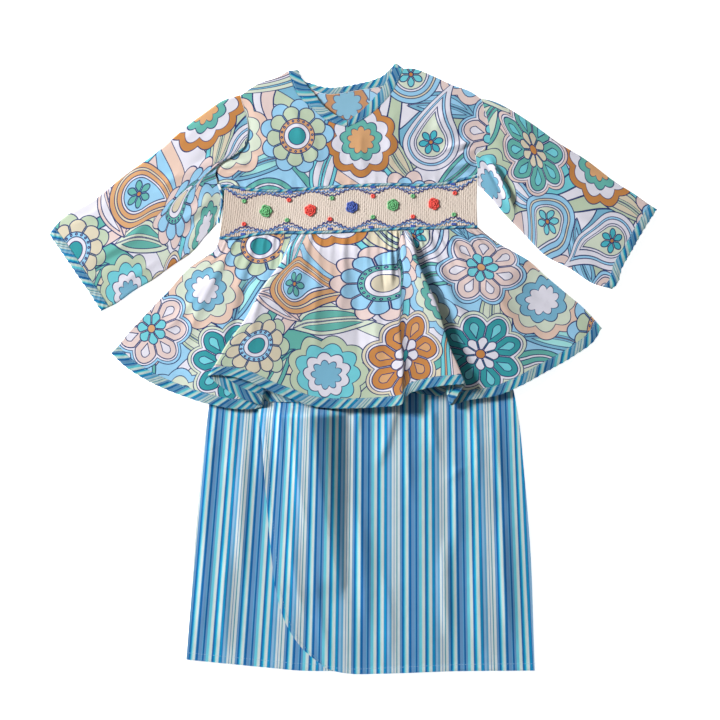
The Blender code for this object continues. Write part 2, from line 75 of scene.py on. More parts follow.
pipingTop = [
    (-132.6, 182.4), (-121, 181.6), (-109, 179.4), (-89, 177.3), (-69, 177.3), (-53, 178.5), (-21, 181),
    (-3, 182), (37, 183.6), (77, 183.1), (100, 186), (117, 190.5), (124.5, 191.7),
]
pipingWaist = [
    (-134, 130.3), (-115, 130), (-104, 132.6), (-81, 135.4), (-53, 135.5), (-23, 136), (-1, 137), (37, 139),
    (77, 140), (117, 141.2), (124.5, 141.5),
]
pipingSide = [(-132.7, 178.6), (-131.6, 175), (-131, 169.5), (-131.8, 160.5), (-133.6, 151.5), (-134.8, 145)]
bandLeft = [(-134, 132), (-130.2, 155), (-128.4, 180)]
bandRight = [(124.5, 143.3), (123.8, 166), (124.5, 189.9)]
sleeveLeftTop = [
    (-112.9, 273.4), (-131, 268), (-153, 252), (-173, 236), (-213, 204), (-256, 172), (-300, 140),
    (-304, 134),
]
sleeveLeftUnder = [(-136.7, 144), (-140, 140), (-162, 116), (-208, 84), (-232, 68), (-252, 57)]
sleeveLeftArm = [
    (-136.7, 144), (-136.2, 151.5), (-133.6, 160.5), (-132.8, 169.5), (-133.6, 176), (-136.6, 187),
    (-137.6, 196.4), (-132.4, 204.1), (-120.4, 212.1), (-109.5, 220.4), (-105.5, 235), (-113, 273.4),
]
sleeveLeftCuff = [(-252, 57), (-264, 76), (-275, 92), (-286, 108), (-297, 124), (-304, 134)]
sleeveRightTop = [(128.4, 269.9), (139, 268), (179, 244), (227, 212), (273, 180), (296, 164), (304, 159)]
sleeveRightUnder = [
    (125.4, 183), (136, 172), (143, 164), (158, 148), (172, 132), (189, 116), (215, 100), (243, 84),
    (259, 79),
]
sleeveRightArm = [
    (125.4, 183), (124.9, 200), (124.2, 214.6), (128.5, 217.5), (136.5, 225.6), (137.4, 234), (134.4, 250),
    (128.4, 269.9),
]
sleeveRightCuff = [(259, 79), (264, 84), (269, 100), (278, 116), (287, 132), (304, 159)]
skirtLeft = [(-167, -292), (-162, -228), (-157, -156), (-151, -92), (-144, -36), (-127, 47)]
skirtRight = [(182, -303), (177, -172), (171, -100), (165, -44), (162, -28), (141, 47)]
backSkirtHem = [(-167, -292), (-86, -298), (0, -302), (87, -302), (182, -303)]
underlapHem = [(-167, -292), (-86, -300), (-53, -303), (-20, -303.5), (60, -302)]
underlapEdge = [(60, -302), (60, 47)]
wrapHem = [(-28, -300), (-16, -304), (-3, -306), (27, -306), (87, -304), (182, -303)]
wrapEdge = [
    (-28, -300), (-53, -278), (-70, -249), (-77, -222), (-83, -172), (-88, -112), (-91, -72), (-95, -37),
    (-97, 47),
]
waistbandLeft = [(-127, 47.3), (-123, 72)]
waistbandRight = [(141, 47.3), (135, 72)]
backHem = [
    (-238, 16), (-180, -17), (-110, -31), (0, -32), (60, -25), (76, -27), (86, -28), (98, -20), (150, -16),
    (220, 17), (246, 39),
]
peplumLeft = [
    (-134, 128.5), (-138, 118), (-152, 108), (-165, 99), (-173, 91), (-184, 78), (-194, 68), (-209, 52),
    (-224, 36), (-237, 20), (-242, 15),
]
peplumRight = [(124.5, 139.7), (146, 124), (161, 116), (175, 108), (193, 92), (212, 76), (231, 60), (249, 40)]


# Lines and surfaces

def ease(share):
    share = np.clip(share, 0, 1)
    return share * share * (3 - 2 * share)


def unit(away):
    return away / np.linalg.norm(away, axis=-1, keepdims=True)


def smoothed(rows, steps=None):
    # Points on a smooth line through the rows; x and y come first, and set the spacing
    rows = np.array(rows, float)
    steps = steps or [12] * (len(rows) - 1)
    spans = np.linalg.norm(np.diff(rows[:, :2], axis=0), axis=1)
    slopes = np.gradient(rows, np.concatenate([[0], np.cumsum(spans)]), axis=0)
    pieces = []
    for i, span in enumerate(spans):
        share = np.linspace(0, 1, steps[i], endpoint=False)[:, None]
        leave = share * (1 - share) ** 2 * span * slopes[i]
        arrive = share ** 2 * (share - 1) * span * slopes[i + 1]
        pieces.append(rows[i] + ease(share) * (rows[i + 1] - rows[i]) + leave + arrive)
    return np.concatenate(pieces + [rows[-1:]])


def reach(points):
    # How far along a line each of its points lies
    steps = np.linalg.norm(np.diff(points, axis=0), axis=-1)
    return np.concatenate([np.zeros_like(steps[:1]), np.cumsum(steps, axis=0)])


def reachAcross(grid):
    return reach(grid.swapaxes(0, 1)).T


def rail(rows):
    # A smooth line through the rows, read by the share of its length
    points = smoothed(rows) if len(rows) > 2 else np.array(rows, float)
    far = reach(points)
    return lambda share: np.stack([np.interp(share, far / far[-1], axis) for axis in points.T], axis=-1)


def chain(*stretches):
    # Rails joined at corners: each stretch is the share at which it ends, and its rows
    def read(share):
        share = np.asarray(share, float)
        found = np.zeros(share.shape + (2,))
        start = 0
        for end, rows in stretches:
            here = (share >= start - 1e-9) & (share <= end + 1e-9)
            found[here] = rail(rows)((share[here] - start) / (end - start))
            start = end
        return found
    return read


def besidePiping(rows, room, left, right):
    # The rail of a panel's edge along a piping, from x at its left end to x at its right end
    line = rail(rows)(np.linspace(0, 1, 37))
    inside = line[(line[:, 0] > left + 1) & (line[:, 0] < right - 1)]
    ends = [(x, np.interp(x, line[:, 0], line[:, 1])) for x in (left, right)]
    points = np.array([ends[0], *inside, ends[1]]) + (0, room)

    def read(share):
        x = left + share * (right - left)
        return np.stack([x, np.interp(x, points[:, 0], points[:, 1])], axis=-1)
    return read


def besideSleeve(arm, start, end, room, tucked):
    # The rail of the bodice's edge beside a sleeve's end; between two heights it is tucked under the sleeve
    line = smoothed(arm)
    under = ease((line[:, 1:] - tucked[0]) / 5) * ease((tucked[1] - line[:, 1:]) / 5)
    line = line + (room - 2.5 * room * under) * unit(np.gradient(line, axis=0))[:, ::-1] * (1, -1)
    inside = line[(line[:, 1] > start[1] + 1) & (line[:, 1] < end[1] - 1)]
    return rail([start, *inside, end])


def lattice(columns, rows):
    return np.meshgrid(np.linspace(0, 1, columns + 1), np.linspace(0, 1, rows + 1))


def bend(line, along):
    # How far a rail strays from the straight line between its ends
    return line(along[..., 0]) - (1 - along) * line(0.0) - along * line(1.0)


def patch(south, north, west, east, across, along):
    # The smooth surface between four rails, at shares across and along it
    right, up = across[..., None], along[..., None]
    ruled = (1 - up) * south(across) + up * north(across)
    return ruled + (1 - right) * bend(west, up) + right * bend(east, up)


def raised(plan, height):
    height = np.broadcast_to(height, plan.shape[:2])
    return np.concatenate([plan, height[..., None]], axis=2)


def shifted(grid, distance):
    # A grid moved out along its own normals
    return grid + distance * unit(np.cross(np.gradient(grid, axis=1), np.gradient(grid, axis=0)))


def beside(plan, x0, y0, x1, y1):
    # How far each point lies along a line and to its right, and the line's length
    (x, y), wide, tall = np.moveaxis(plan - (x0, y0), -1, 0), x1 - x0, y1 - y0
    length = math.hypot(wide, tall)
    return (x * wide + y * tall) / length, (x * tall - y * wide) / length, length


def foldHeight(table, plan):
    # Broad soft folds: x0, y0, x1, y1, width, height
    total = np.zeros(plan.shape[:2])
    for *line, width, height in table:
        along, aside, length = beside(plan, *line)
        taper = ease((along + width) / (2 * width)) * ease((length - along + width) / (2 * width))
        total += height * taper * np.exp(-(aside / width) ** 2)
    return total


creaseShape = {
    "taper": 0.35,  # the share of its length that fades at each end
    "narrow": 0.6,  # the share of its width at each end
    "lean": 0.6,
    "flank": 1.5,
    "sharpness": 1.6,
}
ripples = [
    # share of the height, wave across, sway and its wave, wave along, sway and its wave
    (0.7, 17, 1.3, 29, 21, 1.1, 33), (0.3, 7.3, 1.0, 11, 8.9, 0.8, 13),
]


def creased(plan, creases):
    # Soft ridges and troughs along bowed lines; a lean of 1 makes the flank on a line's left side steep
    size, total = creaseShape, np.zeros(plan.shape[:2])
    for x0, y0, x1, y1, bow, width, height, *lean in creases:
        along, aside, length = beside(plan, x0, y0, x1, y1)
        share = along / length
        aside = aside - 4 * bow * share * (1 - share)
        taper = ease(share / size["taper"]) * ease((1 - share) / size["taper"])
        spread = width * (size["narrow"] + (1 - size["narrow"]) * ease(2 * share * (1 - share)))
        if lean:
            spread = spread * (1 + size["lean"] * lean[0] * np.tanh(aside / width * size["flank"]))
        total += height * taper / (1 + (aside / spread) ** 2) ** size["sharpness"]
    return total


def rippled(plan, size):
    # The slight unevenness of washed cotton
    (x, y), total = np.moveaxis(plan[..., :2], -1, 0), 0
    for share, wide, sway, swayTall, tall, drift, driftWide in ripples:
        across = np.sin(x / wide + sway * np.sin(y / swayTall))
        total = total + share * (across * np.sin(y / tall + drift * np.sin(x / driftWide)))
    return size * total


def puckered(far, size, sway, period):
    # The small waves that a seam draws into a binding
    return size["pucker"] * np.sin(2 * math.pi * far / size["puckerPitch"] + sway * np.sin(far / period))


def roundedOver(share, start):
    # The height of a binding's folded-over cloth at a share of its width
    return top["bindingBulge"] * np.sqrt(np.clip(np.sin(math.pi * (start + 0.9 * share)), 0, 1))


def liftOverSkirt(plan):
    # The top's underside: on the floor beside the skirt, on the skirt over it
    x, y = plan[..., 0], plan[..., 1]
    left, right = np.array(skirtLeft + waistbandLeft), np.array(skirtRight + waistbandRight)
    outside = np.maximum.reduce([
        y - waistbandLeft[-1][1],
        np.interp(y, left[:, 1], left[:, 0]) - x,
        x - np.interp(y, right[:, 1], right[:, 0]),
    ])
    start, fall = skirtDrape
    return restOnSkirt * (1 - ease((outside - start) / fall))


# Colours, written as the 0 to 255 values of a dyer's swatch card

dyes = {
    "navy": (38, 54, 108), "teal": (48, 152, 160), "seaGreen": (98, 176, 166), "aqua": (112, 202, 214),
    "turquoise": (70, 182, 198), "sky": (150, 202, 234), "dusty": (120, 180, 208), "sage": (188, 204, 178),
    "paleSage": (208, 218, 200), "peach": (226, 196, 180), "pink": (224, 202, 198), "caramel": (194, 130, 68),
    "tan": (210, 160, 112), "sand": (214, 204, 180), "ground": (224, 222, 234), "cream": (231, 216, 203),
    # The first colour below is painted shade for the smocked band's grooves and left end, not a dye of the
    # cloth
    "groove": (150, 124, 104), "deepBlue": (0, 98, 166), "midBlue": (0, 142, 198), "cyan": (30, 176, 214),
    "paleAqua": (160, 222, 222), "lightBlue": (94, 164, 206), "lavender": (100, 148, 194),
    "paleGrey": (208, 220, 222), "paleLilac": (140, 184, 218), "slate": (40, 118, 182),
    "stripeAqua": (100, 200, 222), "greyTeal": (88, 158, 180), "biasShade": (216, 228, 222),
    "threadNavy": (54, 62, 136), "threadLightBlue": (104, 150, 210), "threadGreen": (112, 196, 130),
    "threadRed": (250, 82, 70), "threadBlue": (70, 100, 190), "threadPale": (150, 192, 216),
}


def dyed(name, alpha=1.0):
    shares = [channel / 255 for channel in dyes[name]]
    return (*[s / 12.92 if s < 0.04045 else ((s + 0.055) / 1.055) ** 2.4 for s in shares], alpha)


# Node trees, with their maths written as plain sums

class Term:
    # A node's output, ready to stand in a sum
    def __init__(self, socket):
        self.socket = socket


def join(socket, value):
    if isinstance(value, Term):
        socket.id_data.links.new(value.socket, socket)
    else:
        socket.default_value = value


def made(tree, kind, inputs=(), output=0, **settings):
    # One node's output: its settings by name, its inputs by number or name
    node = tree.nodes.new(kind)
    for name, value in settings.items():
        setattr(node, name, value)
    for name, value in dict(inputs).items():
        join(node.inputs[name], value)
    return Term(node.outputs[output])


def treeOf(*values):
    return next(value.socket.id_data for value in values if isinstance(value, Term))


def calc(operation, *values, kind="ShaderNodeMath", output=0):
    return made(treeOf(*values), kind, enumerate(values), output, operation=operation)


for method, sign in {"add": "ADD", "sub": "SUBTRACT", "mul": "MULTIPLY", "truediv": "DIVIDE"}.items():
    setattr(Term, f"__{method}__", lambda self, other, sign=sign: calc(sign, self, other))
    setattr(Term, f"__r{method}__", lambda self, other, sign=sign: calc(sign, other, self))


def vector(operation, *values, output=0):
    return calc(operation, *values, kind="ShaderNodeVectorMath", output=output)


def distance(value):
    return vector("LENGTH", value, output=1)


def parts(spot):
    node = treeOf(spot).nodes.new("ShaderNodeSeparateXYZ")
    join(node.inputs[0], spot)
    return Term(node.outputs[0]), Term(node.outputs[1])


def packed(*values):
    return made(treeOf(*values), "ShaderNodeCombineXYZ", enumerate(values))


def mixed(share, under, over, blend="MIX"):
    return made(treeOf(share, under, over), "ShaderNodeMix", {0: share, 6: under, 7: over}, 2,
                data_type="RGBA", blend_type=blend)


def chosen(test, no, yes):
    return made(treeOf(test), "ShaderNodeMix", {0: test, 2: no, 3: yes}, data_type="FLOAT")


def steppedRamp(share, stops):
    # Flat bands of colour. stops: where each starts, and its colour with alpha
    node = treeOf(share).nodes.new("ShaderNodeValToRGB")
    ramp = node.color_ramp
    ramp.interpolation = "CONSTANT"
    while len(ramp.elements) > 1:
        ramp.elements.remove(ramp.elements[-1])
    ramp.elements[0].position, ramp.elements[0].color = 0, stops[0][1]
    for place, colour in stops[1:]:
        ramp.elements.new(place).color = colour
    join(node.inputs[0], share)
    return [Term(socket) for socket in node.outputs]


def newGroup(name, kind, given, result):
    # A node group with its named inputs, and one output of the kind that its result is
    tree = bpy.data.node_groups.new(name, kind)
    for label, sort in given.items():
        tree.interface.new_socket(label, in_out="INPUT", socket_type="NodeSocket" + sort)
    tree.interface.new_socket(result[0], in_out="OUTPUT", socket_type="NodeSocket" + result[1])
    start, end = tree.nodes.new("NodeGroupInput"), tree.nodes.new("NodeGroupOutput")
    return tree, {label: Term(start.outputs[label]) for label in given}, end.inputs[0]


# The print: motifs laid one over another on a flowing ribbon ground

printCloth = {
    "repeat": (336, 300),
    "line": 1.15,
    "fineLine": 0.9,
    "deepest": 34,
    "cutLine": 0.02,  # the depth given to the cut between two petals, and to a leaf's rib
}


def petalShape(local, count, middle, half, width):
    # Ovals in a ring, each cut where it meets the next
    x, y = parts(local)
    far = distance(local)
    sector = 2 * math.pi / count
    aside = (calc("FRACT", calc("ARCTAN2", y, x) / sector + 0.5) - 0.5) * sector
    size = packed(half, width, 1.0)
    once = vector("DIVIDE", packed(far * calc("COSINE", aside) - middle, far * calc("SINE", aside)), size)
    near = distance(once)
    oval = near * (1.0 - near) / distance(vector("DIVIDE", once, size))
    edge = (sector * 0.5 - calc("ABSOLUTE", aside)) * far
    return calc("MINIMUM", oval, edge + printCloth["cutLine"])


def discShape(local, radius, lobes, scallop):
    # A disc with a scalloped rim
    x, y = parts(local)
    turn = calc("ARCTAN2", y, x) * (lobes * 0.5)
    return (calc("ABSOLUTE", calc("COSINE", turn)) - 1.0) * scallop + radius - distance(local)


def leafShape(local, length, width, bow, rib):
    # Two arcs that meet at points, bent sideways, with a line down the middle
    x, y = parts(local)
    share = x / length
    aside = calc("ABSOLUTE", y + bow * (share * share))
    arc = (length * length + width * width) / (width * 2.0)
    inside = arc - distance(packed(x, aside + (arc - width)))
    return calc("MINIMUM", inside, aside * rib + printCloth["cutLine"])


def dropShape(local, radius, length, tip, bow):
    # A teardrop whose tail bends: a big round, a small round and the tangents between them
    x, y = parts(local)
    share = calc("MAXIMUM", y, 0.0) / length
    x = calc("ABSOLUTE", x - bow * (share * share))
    sine = (radius - tip) / length
    cosine = calc("SQRT", 1.0 - sine * sine)
    along = y * cosine - x * sine
    side = radius - (x * cosine + y * sine)
    tail = tip - vector("DISTANCE", packed(x, y), packed(0.0, length), output=1)
    middle = chosen(calc("GREATER_THAN", along, length * cosine), side, tail)
    return chosen(calc("LESS_THAN", along, 0.0), middle, radius - distance(packed(x, y)))


motifShapes = {
    "petals": (petalShape, "Count", "Middle", "Half Length", "Half Width"),
    "disc": (discShape, "Radius", "Lobes", "Scallop"),
    "leaf": (leafShape, "Half Length", "Half Width", "Bow", "Rib"),
    "drop": (dropShape, "Radius", "Length", "Tip", "Bow"),
}


def motifGroup(kind):
    # A shared group: places the cloth's own coordinates on a motif and gives the depth inside its edge
    shape, *labels = motifShapes[kind]
    given = {"Cloth": "Vector", "Place": "Vector", "Turn": "Float", **dict.fromkeys(labels, "Float")}
    tree, start, end = newGroup(kind + "Motif", "ShaderNodeTree", given, ("Depth", "Float"))
    wide, tall = [side / 2 for side in printCloth["repeat"]]
    away = vector("SUBTRACT", start["Cloth"], start["Place"])
    away = vector("WRAP", away, (wide, tall, 1), (-wide, -tall, -1))
    local = made(tree, "ShaderNodeVectorRotate", {"Vector": away, "Angle": start["Turn"]},
                 rotation_type="Z_AXIS", invert=True)
    join(end, shape(local, *[start[label] for label in labels]) * (1 / printCloth["deepest"]))
    return tree


def daisy(x, y, turn, size, count, cloud, outer, heart, inner, eye):
    # A scalloped cloud, a ring of petals, a smaller ring and an eye
    petal = size * 2.3 / count
    return [
        ("disc", x, y, turn, (size * 1.2, count, size * 0.24), [(0, cloud), (size * 0.1, "ground")]),
        ("petals", x, y, turn, (count, size * 0.6, size * 0.44, petal), [(0, outer), (petal * 0.55, heart)]),
        ("petals", x, y, turn + 180 / count, (count, size * 0.27, size * 0.2, petal * 0.5), [(0, inner)]),
        ("disc", x, y, 0, (size * 0.14, 0, 0), [(0, eye)]),
    ]


def wheel(x, y, turn, size, count, rim, outer, ring, heart):
    # Rounds one inside another under a ring of short petals
    petal = size * 2.6 / count
    return [
        ("petals", x, y, turn, (count, size * 0.78, size * 0.3, petal), [(0, rim)]),
        ("petals", x, y, turn + 180 / count, (count, size * 0.62, size * 0.26, petal * 0.9), [(0, outer)]),
        ("disc", x, y, 0, (size * 0.52, 0, 0), [(0, ring), (size * 0.14, "ground"), (size * 0.26, heart)]),
        ("petals", x, y, turn, (2 * count, size * 0.44, 1.5, 1.5), [(0, "ground")]),
    ]


def paisley(x, y, turn, size, outer, band, inner, flower):
    # Nested teardrops with a bent tail round a small flower
    return [
        ("drop", x, y, turn, (size, size * 1.9, 1.4, size * 1.15), [
            (0, outer), (size * 0.17, band), (size * 0.25, outer), (size * 0.4, "ground"),
            (size * 0.48, inner)]),
        ("petals", x, y, turn, (6, size * 0.25, size * 0.19, size * 0.13), [(0, flower)]),
        ("disc", x, y, 0, (size * 0.1, 0, 0), [(0, "caramel")]),
    ]


def rosette(x, y, turn, size, rim, first, second, last):
    # Scalloped rounds one inside another
    return [
        ("disc", x, y, turn, (size, 9, size * 0.14), [(0, rim), (size * 0.2, first)]),
        ("disc", x, y, turn + 20, (size * 0.58, 9, size * 0.1), [(0, second), (size * 0.2, last)]),
    ]


def sprig(x, y, turn, size, bow, outer, inner):
    # One broad leaf with a band inside each half
    return [("leaf", x, y, turn, (size, size * 0.36, bow, 1.7), [(0, outer), (size * 0.1, inner)])]


motifs = {
    # the last laid lies on top: x, y, turn, size, then a count or bow where there is one, and the colours
    sprig: [
        (0, 82, 62, 42, 9, "seaGreen", "paleSage"), (66, 62, 130, 36, -8, "sky", "ground"),
        (150, 84, 25, 36, 10, "sage", "peach"), (196, 74, 100, 38, 8, "aqua", "paleSage"),
        (268, 74, 150, 36, -8, "dusty", "sky"), (276, 118, 60, 36, 7, "peach", "sand"),
        (58, 150, 15, 40, 8, "paleSage", "seaGreen"), (190, 152, 160, 36, 8, "seaGreen", "paleAqua"),
        (258, 150, 30, 38, -8, "sky", "sage"), (10, 226, 75, 38, 8, "aqua", "ground"),
        (82, 240, 120, 34, 7, "sage", "sand"), (152, 230, 45, 36, -7, "seaGreen", "sky"),
        (216, 224, 110, 36, 8, "sage", "paleSage"), (284, 236, 20, 36, 8, "dusty", "paleAqua"),
        (338, 158, 140, 34, 7, "pink", "ground"), (130, 294, 170, 36, -8, "dusty", "sky"),
    ],
    rosette: [
        (162, 34, 20, 42, "pink", "sky", "caramel", "dusty"),
        (60, 96, -35, 40, "sage", "aqua", "ground", "dusty"),
        (160, 182, 10, 40, "sky", "paleSage", "seaGreen", "ground"),
        (48, 258, 30, 38, "caramel", "ground", "seaGreen", "tan"),
        (252, 262, -15, 42, "peach", "paleSage", "dusty", "ground"),
    ],
    paisley: [
        (98, 24, -30, 30, "sky", "sand", "paleSage", "aqua"),
        (304, 36, 150, 29, "paleSage", "dusty", "pink", "teal"),
        (204, 108, 60, 31, "aqua", "tan", "pink", "teal"),
        (22, 176, -60, 29, "tan", "sand", "sky", "seaGreen"),
        (292, 190, 120, 31, "seaGreen", "ground", "paleSage", "sky"),
        (118, 256, 10, 29, "ground", "sky", "paleSage", "turquoise"),
    ],
    daisy: [
        (30, 30, 8, 36, 8, "pink", "seaGreen", "aqua", "sand", "caramel"),
        (132, 116, 20, 37, 7, "sand", "caramel", "tan", "ground", "teal"),
        (228, 184, 0, 38, 8, "paleSage", "teal", "aqua", "ground", "caramel"),
        (186, 262, 12, 35, 7, "sky", "pink", "ground", "aqua", "tan"),
    ],
    wheel: [
        (236, 34, 5, 34, 10, "paleSage", "aqua", "peach", "caramel"),
        (322, 112, 5, 33, 9, "sage", "sand", "sky", "teal"),
        (94, 190, 5, 36, 10, "pink", "sky", "seaGreen", "sand"),
        (320, 262, 5, 35, 9, "sky", "sage", "tan", "teal"),
    ],
}
ribbons = [
    # across or up the cloth, sway, second sway, phase, then the bands: width in mm and colour, None is clear
    ("across", 24, 15, 0.0, [
        (14, "ground"), (8, "aqua"), (10, "paleSage"), (5, "ground"), (9, "pink"), (12, "sage"), (6, "sand"),
        (11, "seaGreen"), (16, "ground"), (10, "paleSage"), (6.5, "ground"), (12, "sky"), (9, "peach"),
        (18, "ground"), (9, "sage"), (12, "dusty")]),
    ("up", 30, 12, 1.4, [
        (58, None), (8, "aqua"), (6, "ground"), (8, "sage"), (66, None), (9, "sky"), (5, "sand"),
        (8, "paleSage"), (62, None), (8, "seaGreen"), (6, "ground"), (9, "pink")]),
]


def bandStops(bands):
    # Clear outside, then each band of colour with a navy line at its outer side
    deepest = printCloth["deepest"]
    stops = [(0, dyed("ground", 0.0))]
    for number, (start, colour) in enumerate(bands):
        line = printCloth["fineLine" if number else "line"]
        stops += [((start + 0.01) / deepest, dyed("navy")), ((start + line) / deepest, dyed(colour))]
    return stops


def ribbonBands(cloth, under, way, sway, second, phase, bands):
    # Ribbons that flow over the cloth and meet themselves at the repeat
    (x, y), (wide, tall) = parts(cloth), printCloth["repeat"]
    if way == "up":
        x, y, wide, tall = y, x, tall, wide
    sweep = x * (2 * math.pi / wide) + phase
    twist = y * (2 * math.pi / tall) + sweep * 2.0
    level = y + (calc("SINE", sweep) * sway + calc("SINE", twist) * second)
    total = sum(width for width, colour in bands)
    stops, start, before = [], 0, bands[-1][1]
    for width, colour in bands:
        if colour or before:
            stops.append((start / total, dyed("navy")))
        clear = dyed(colour) if colour else dyed("ground", 0.0)
        stops.append((start / total + printCloth["line"] / tall, clear))
        start, before = start + width, colour
    ring = steppedRamp(calc("FRACT", level / tall), stops)
    return mixed(ring[1], under, ring[0])


def printColour(tree, cloth):
    groups = {kind: motifGroup(kind) for kind in motifShapes}
    colour = dyed("ground")
    for ribbon in ribbons:
        colour = ribbonBands(cloth, colour, *ribbon)
    layers = [layer for motif, rows in motifs.items() for row in rows for layer in motif(*row)]
    for kind, x, y, turn, sizes, bands in layers:
        given = zip(("Cloth", "Place", "Turn", *motifShapes[kind][1:]),
                    (cloth, (x, y, 0), math.radians(turn), *map(float, sizes)))
        ring = steppedRamp(made(tree, "ShaderNodeGroup", given, node_tree=groups[kind]), bandStops(bands))
        colour = mixed(ring[1], colour, ring[0])
    return colour


# Finishes

stripeChart = [
    # width in mm, colour; one repeat of the yarn-dyed stripe
    (1.2, "deepBlue"), (1.1, "midBlue"), (1, "stripeAqua"), (0.8, "paleAqua"), (2.1, "paleGrey"),
    (0.8, "lightBlue"), (2.2, "deepBlue"), (3.1, "lavender"), (0.9, "lightBlue"), (1.8, "deepBlue"),
    (1.8, "lavender"), (2.4, "stripeAqua"), (0.8, "paleAqua"), (2.3, "paleGrey"), (0.7, "lavender"),
    (1.1, "deepBlue"), (1, "midBlue"), (0.9, "cyan"), (1.1, "paleAqua"), (2.3, "paleGrey"),
    (0.6, "lightBlue"), (2, "midBlue"), (1, "slate"), (2.2, "paleLilac"), (2, "lightBlue"),
    (2, "paleGrey"), (0.8, "lavender"), (1.8, "paleGrey"), (1.2, "greyTeal"), (2.3, "paleGrey"),
    (2.2, "lavender"),
]
clothFinish = {
    "stripeRepeat": 48.9,
    "biasDrawnIn": 1.22,
    "roughness": 0.86,
    "sheen": 0.12,
    "sheenRoughness": 0.5,
    "specular": 0.25,
    "thread": 0.55,
    "threadRelief": 0.07,
    "rumple": 9.0,
    "rumpleRelief": 0.35,
    "fadingScale": 0.05,
    "fading": 0.05,
    "wrongSide": 0.4,
    "wrongSideColour": (0.72, 0.74, 0.78, 1),
}
threadFinish = {"strands": 1400.0, "dark": 0.7, "relief": 0.12, "roughness": 0.55, "sheen": 0.2}


def stripeColour(across):
    total = sum(width for width, colour in stripeChart)
    stops, start = [], 0
    for width, colour in stripeChart:
        stops.append((start / total, dyed(colour)))
        start += width
    return steppedRamp(calc("FRACT", across / clothFinish["stripeRepeat"]), stops)[0]


def straightStripes(tree, cloth):
    return stripeColour(parts(cloth)[0])


def biasStripes(tree, cloth):
    x, y = parts(cloth)
    stripes = stripeColour((x - y) * (clothFinish["biasDrawnIn"] * math.sqrt(0.5)))
    return mixed(1.0, stripes, dyed("biasShade"), "MULTIPLY")


def smockedColour(tree, cloth):
    # Cream darkened by painted shade, read from an attribute that the smocked band sets: in its grooves, near
    # its seams and at its left end
    return mixed(attribute(tree, "groove"), dyed("cream"), dyed("groove"))


def attribute(tree, name):
    return made(tree, "ShaderNodeAttribute", output=2, attribute_name=name)


def relief(tree, height, depth, **others):
    return made(tree, "ShaderNodeBump", {"Strength": 1.0, "Distance": depth * mm, "Height": height, **others})


def newMaterial(name, inputsFrom, *given):
    material = bpy.data.materials.new(name)
    material.use_nodes = True
    tree = material.node_tree
    for label, value in inputsFrom(tree, *given).items():
        join(tree.nodes["Principled BSDF"].inputs[label], value)
    return material


def clothInputs(tree, colourFrom):
    # Cotton: its colours, a plain weave, a faint unevenness and paler on the wrong side
    look = clothFinish
    cloth = made(tree, "ShaderNodeUVMap", uv_map="cloth")
    paler = attribute(tree, "wrongSide") * look["wrongSide"]
    colour = mixed(paler, colourFrom(tree, cloth), look["wrongSideColour"])
    noise = made(tree, "ShaderNodeTexNoise", {"Vector": cloth, "Scale": look["fadingScale"], "Detail": 4.0})
    shade = made(tree, "ShaderNodeMapRange", {0: noise, 1: 0.3, 2: 0.7, 3: 1 - look["fading"], 4: 1.0})
    tone = made(tree, "ShaderNodeCombineColor", dict.fromkeys(range(3), shade))
    x, y = parts(cloth)
    turn = 2 * math.pi / look["thread"]
    soft = made(tree, "ShaderNodeTexNoise",
                {"Vector": cloth, "Scale": 1 / look["rumple"], "Detail": 2.0, "Roughness": 0.5})
    rumpled = relief(tree, soft, look["rumpleRelief"])
    weave = calc("SINE", x * turn) * calc("SINE", y * turn)
    woven = relief(tree, weave, look["threadRelief"], Normal=rumpled)
    return {"Base Color": mixed(1.0, colour, tone, "MULTIPLY"), "Roughness": look["roughness"],
            "Sheen Weight": look["sheen"], "Sheen Roughness": look["sheenRoughness"],
            "Specular IOR Level": look["specular"], "Normal": woven}


def threadInputs(tree, colour):
    # Stranded embroidery cotton: a soft shine over twisted strands
    look = threadFinish
    place = made(tree, "ShaderNodeTexCoord", output=3)
    strands = made(tree, "ShaderNodeTexNoise", {"Vector": place, "Scale": look["strands"], "Detail": 2.0})
    dark = tuple(look["dark"] * share for share in dyed(colour)[:3]) + (1.0,)
    shade = made(tree, "ShaderNodeMapRange", {0: strands, 1: 0.35, 2: 0.65})
    return {"Base Color": mixed(shade, dark, dyed(colour)), "Roughness": look["roughness"],
            "Sheen Weight": look["sheen"], "Normal": relief(tree, strands, look["relief"])}


finishes = {
    "print_cotton": newMaterial("printedCotton", clothInputs, printColour),
    "skirt_stripe": newMaterial("stripedCotton", clothInputs, straightStripes),
    "bias_stripe": newMaterial("biasCutStripe", clothInputs, biasStripes),
    "smocking": newMaterial("smockedCotton", clothInputs, smockedColour),
}
for thread, dye in (("navy", "Navy"), ("lightBlue", "LightBlue"), ("green", "Green"), ("red", "Red"),
                    ("blue", "Blue"), ("sewing", "Pale")):
    finishes[thread] = newMaterial(thread + "Thread", threadInputs, "thread" + dye)
print("finishes made")


# Making pieces

def addPiece(name, node, points, faces, layout, slot, **fields):
    # One mesh in metres with its layout on the flat cloth, in millimetres, as its UV map
    mesh = bpy.data.meshes.new(name)
    mesh.from_pydata((np.asarray(points) * mm).tolist(), [], faces)
    corners = np.empty(len(mesh.loops), int)
    mesh.loops.foreach_get("vertex_index", corners)
    mesh.uv_layers.new(name="cloth").data.foreach_set("uv", np.asarray(layout)[corners].ravel())
    for label, values in fields.items():
        mesh.attributes.new(label, "FLOAT", "POINT").data.foreach_set("value", values)
    shape = bmesh.new()
    shape.from_mesh(mesh)
    bmesh.ops.remove_doubles(shape, verts=shape.verts, dist=1e-7)
    bmesh.ops.recalc_face_normals(shape, faces=shape.faces)
    shape.to_mesh(mesh)
    shape.free()
    mesh.shade_smooth()
    mesh.set_sharp_from_angle(angle=math.radians(50))
    mesh.materials.append(finishes[slot])
    piece = bpy.data.objects.new(name, mesh)
    bpy.context.collection.objects.link(piece)
    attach(piece, "root")
    if node:
        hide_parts(node)
    return piece


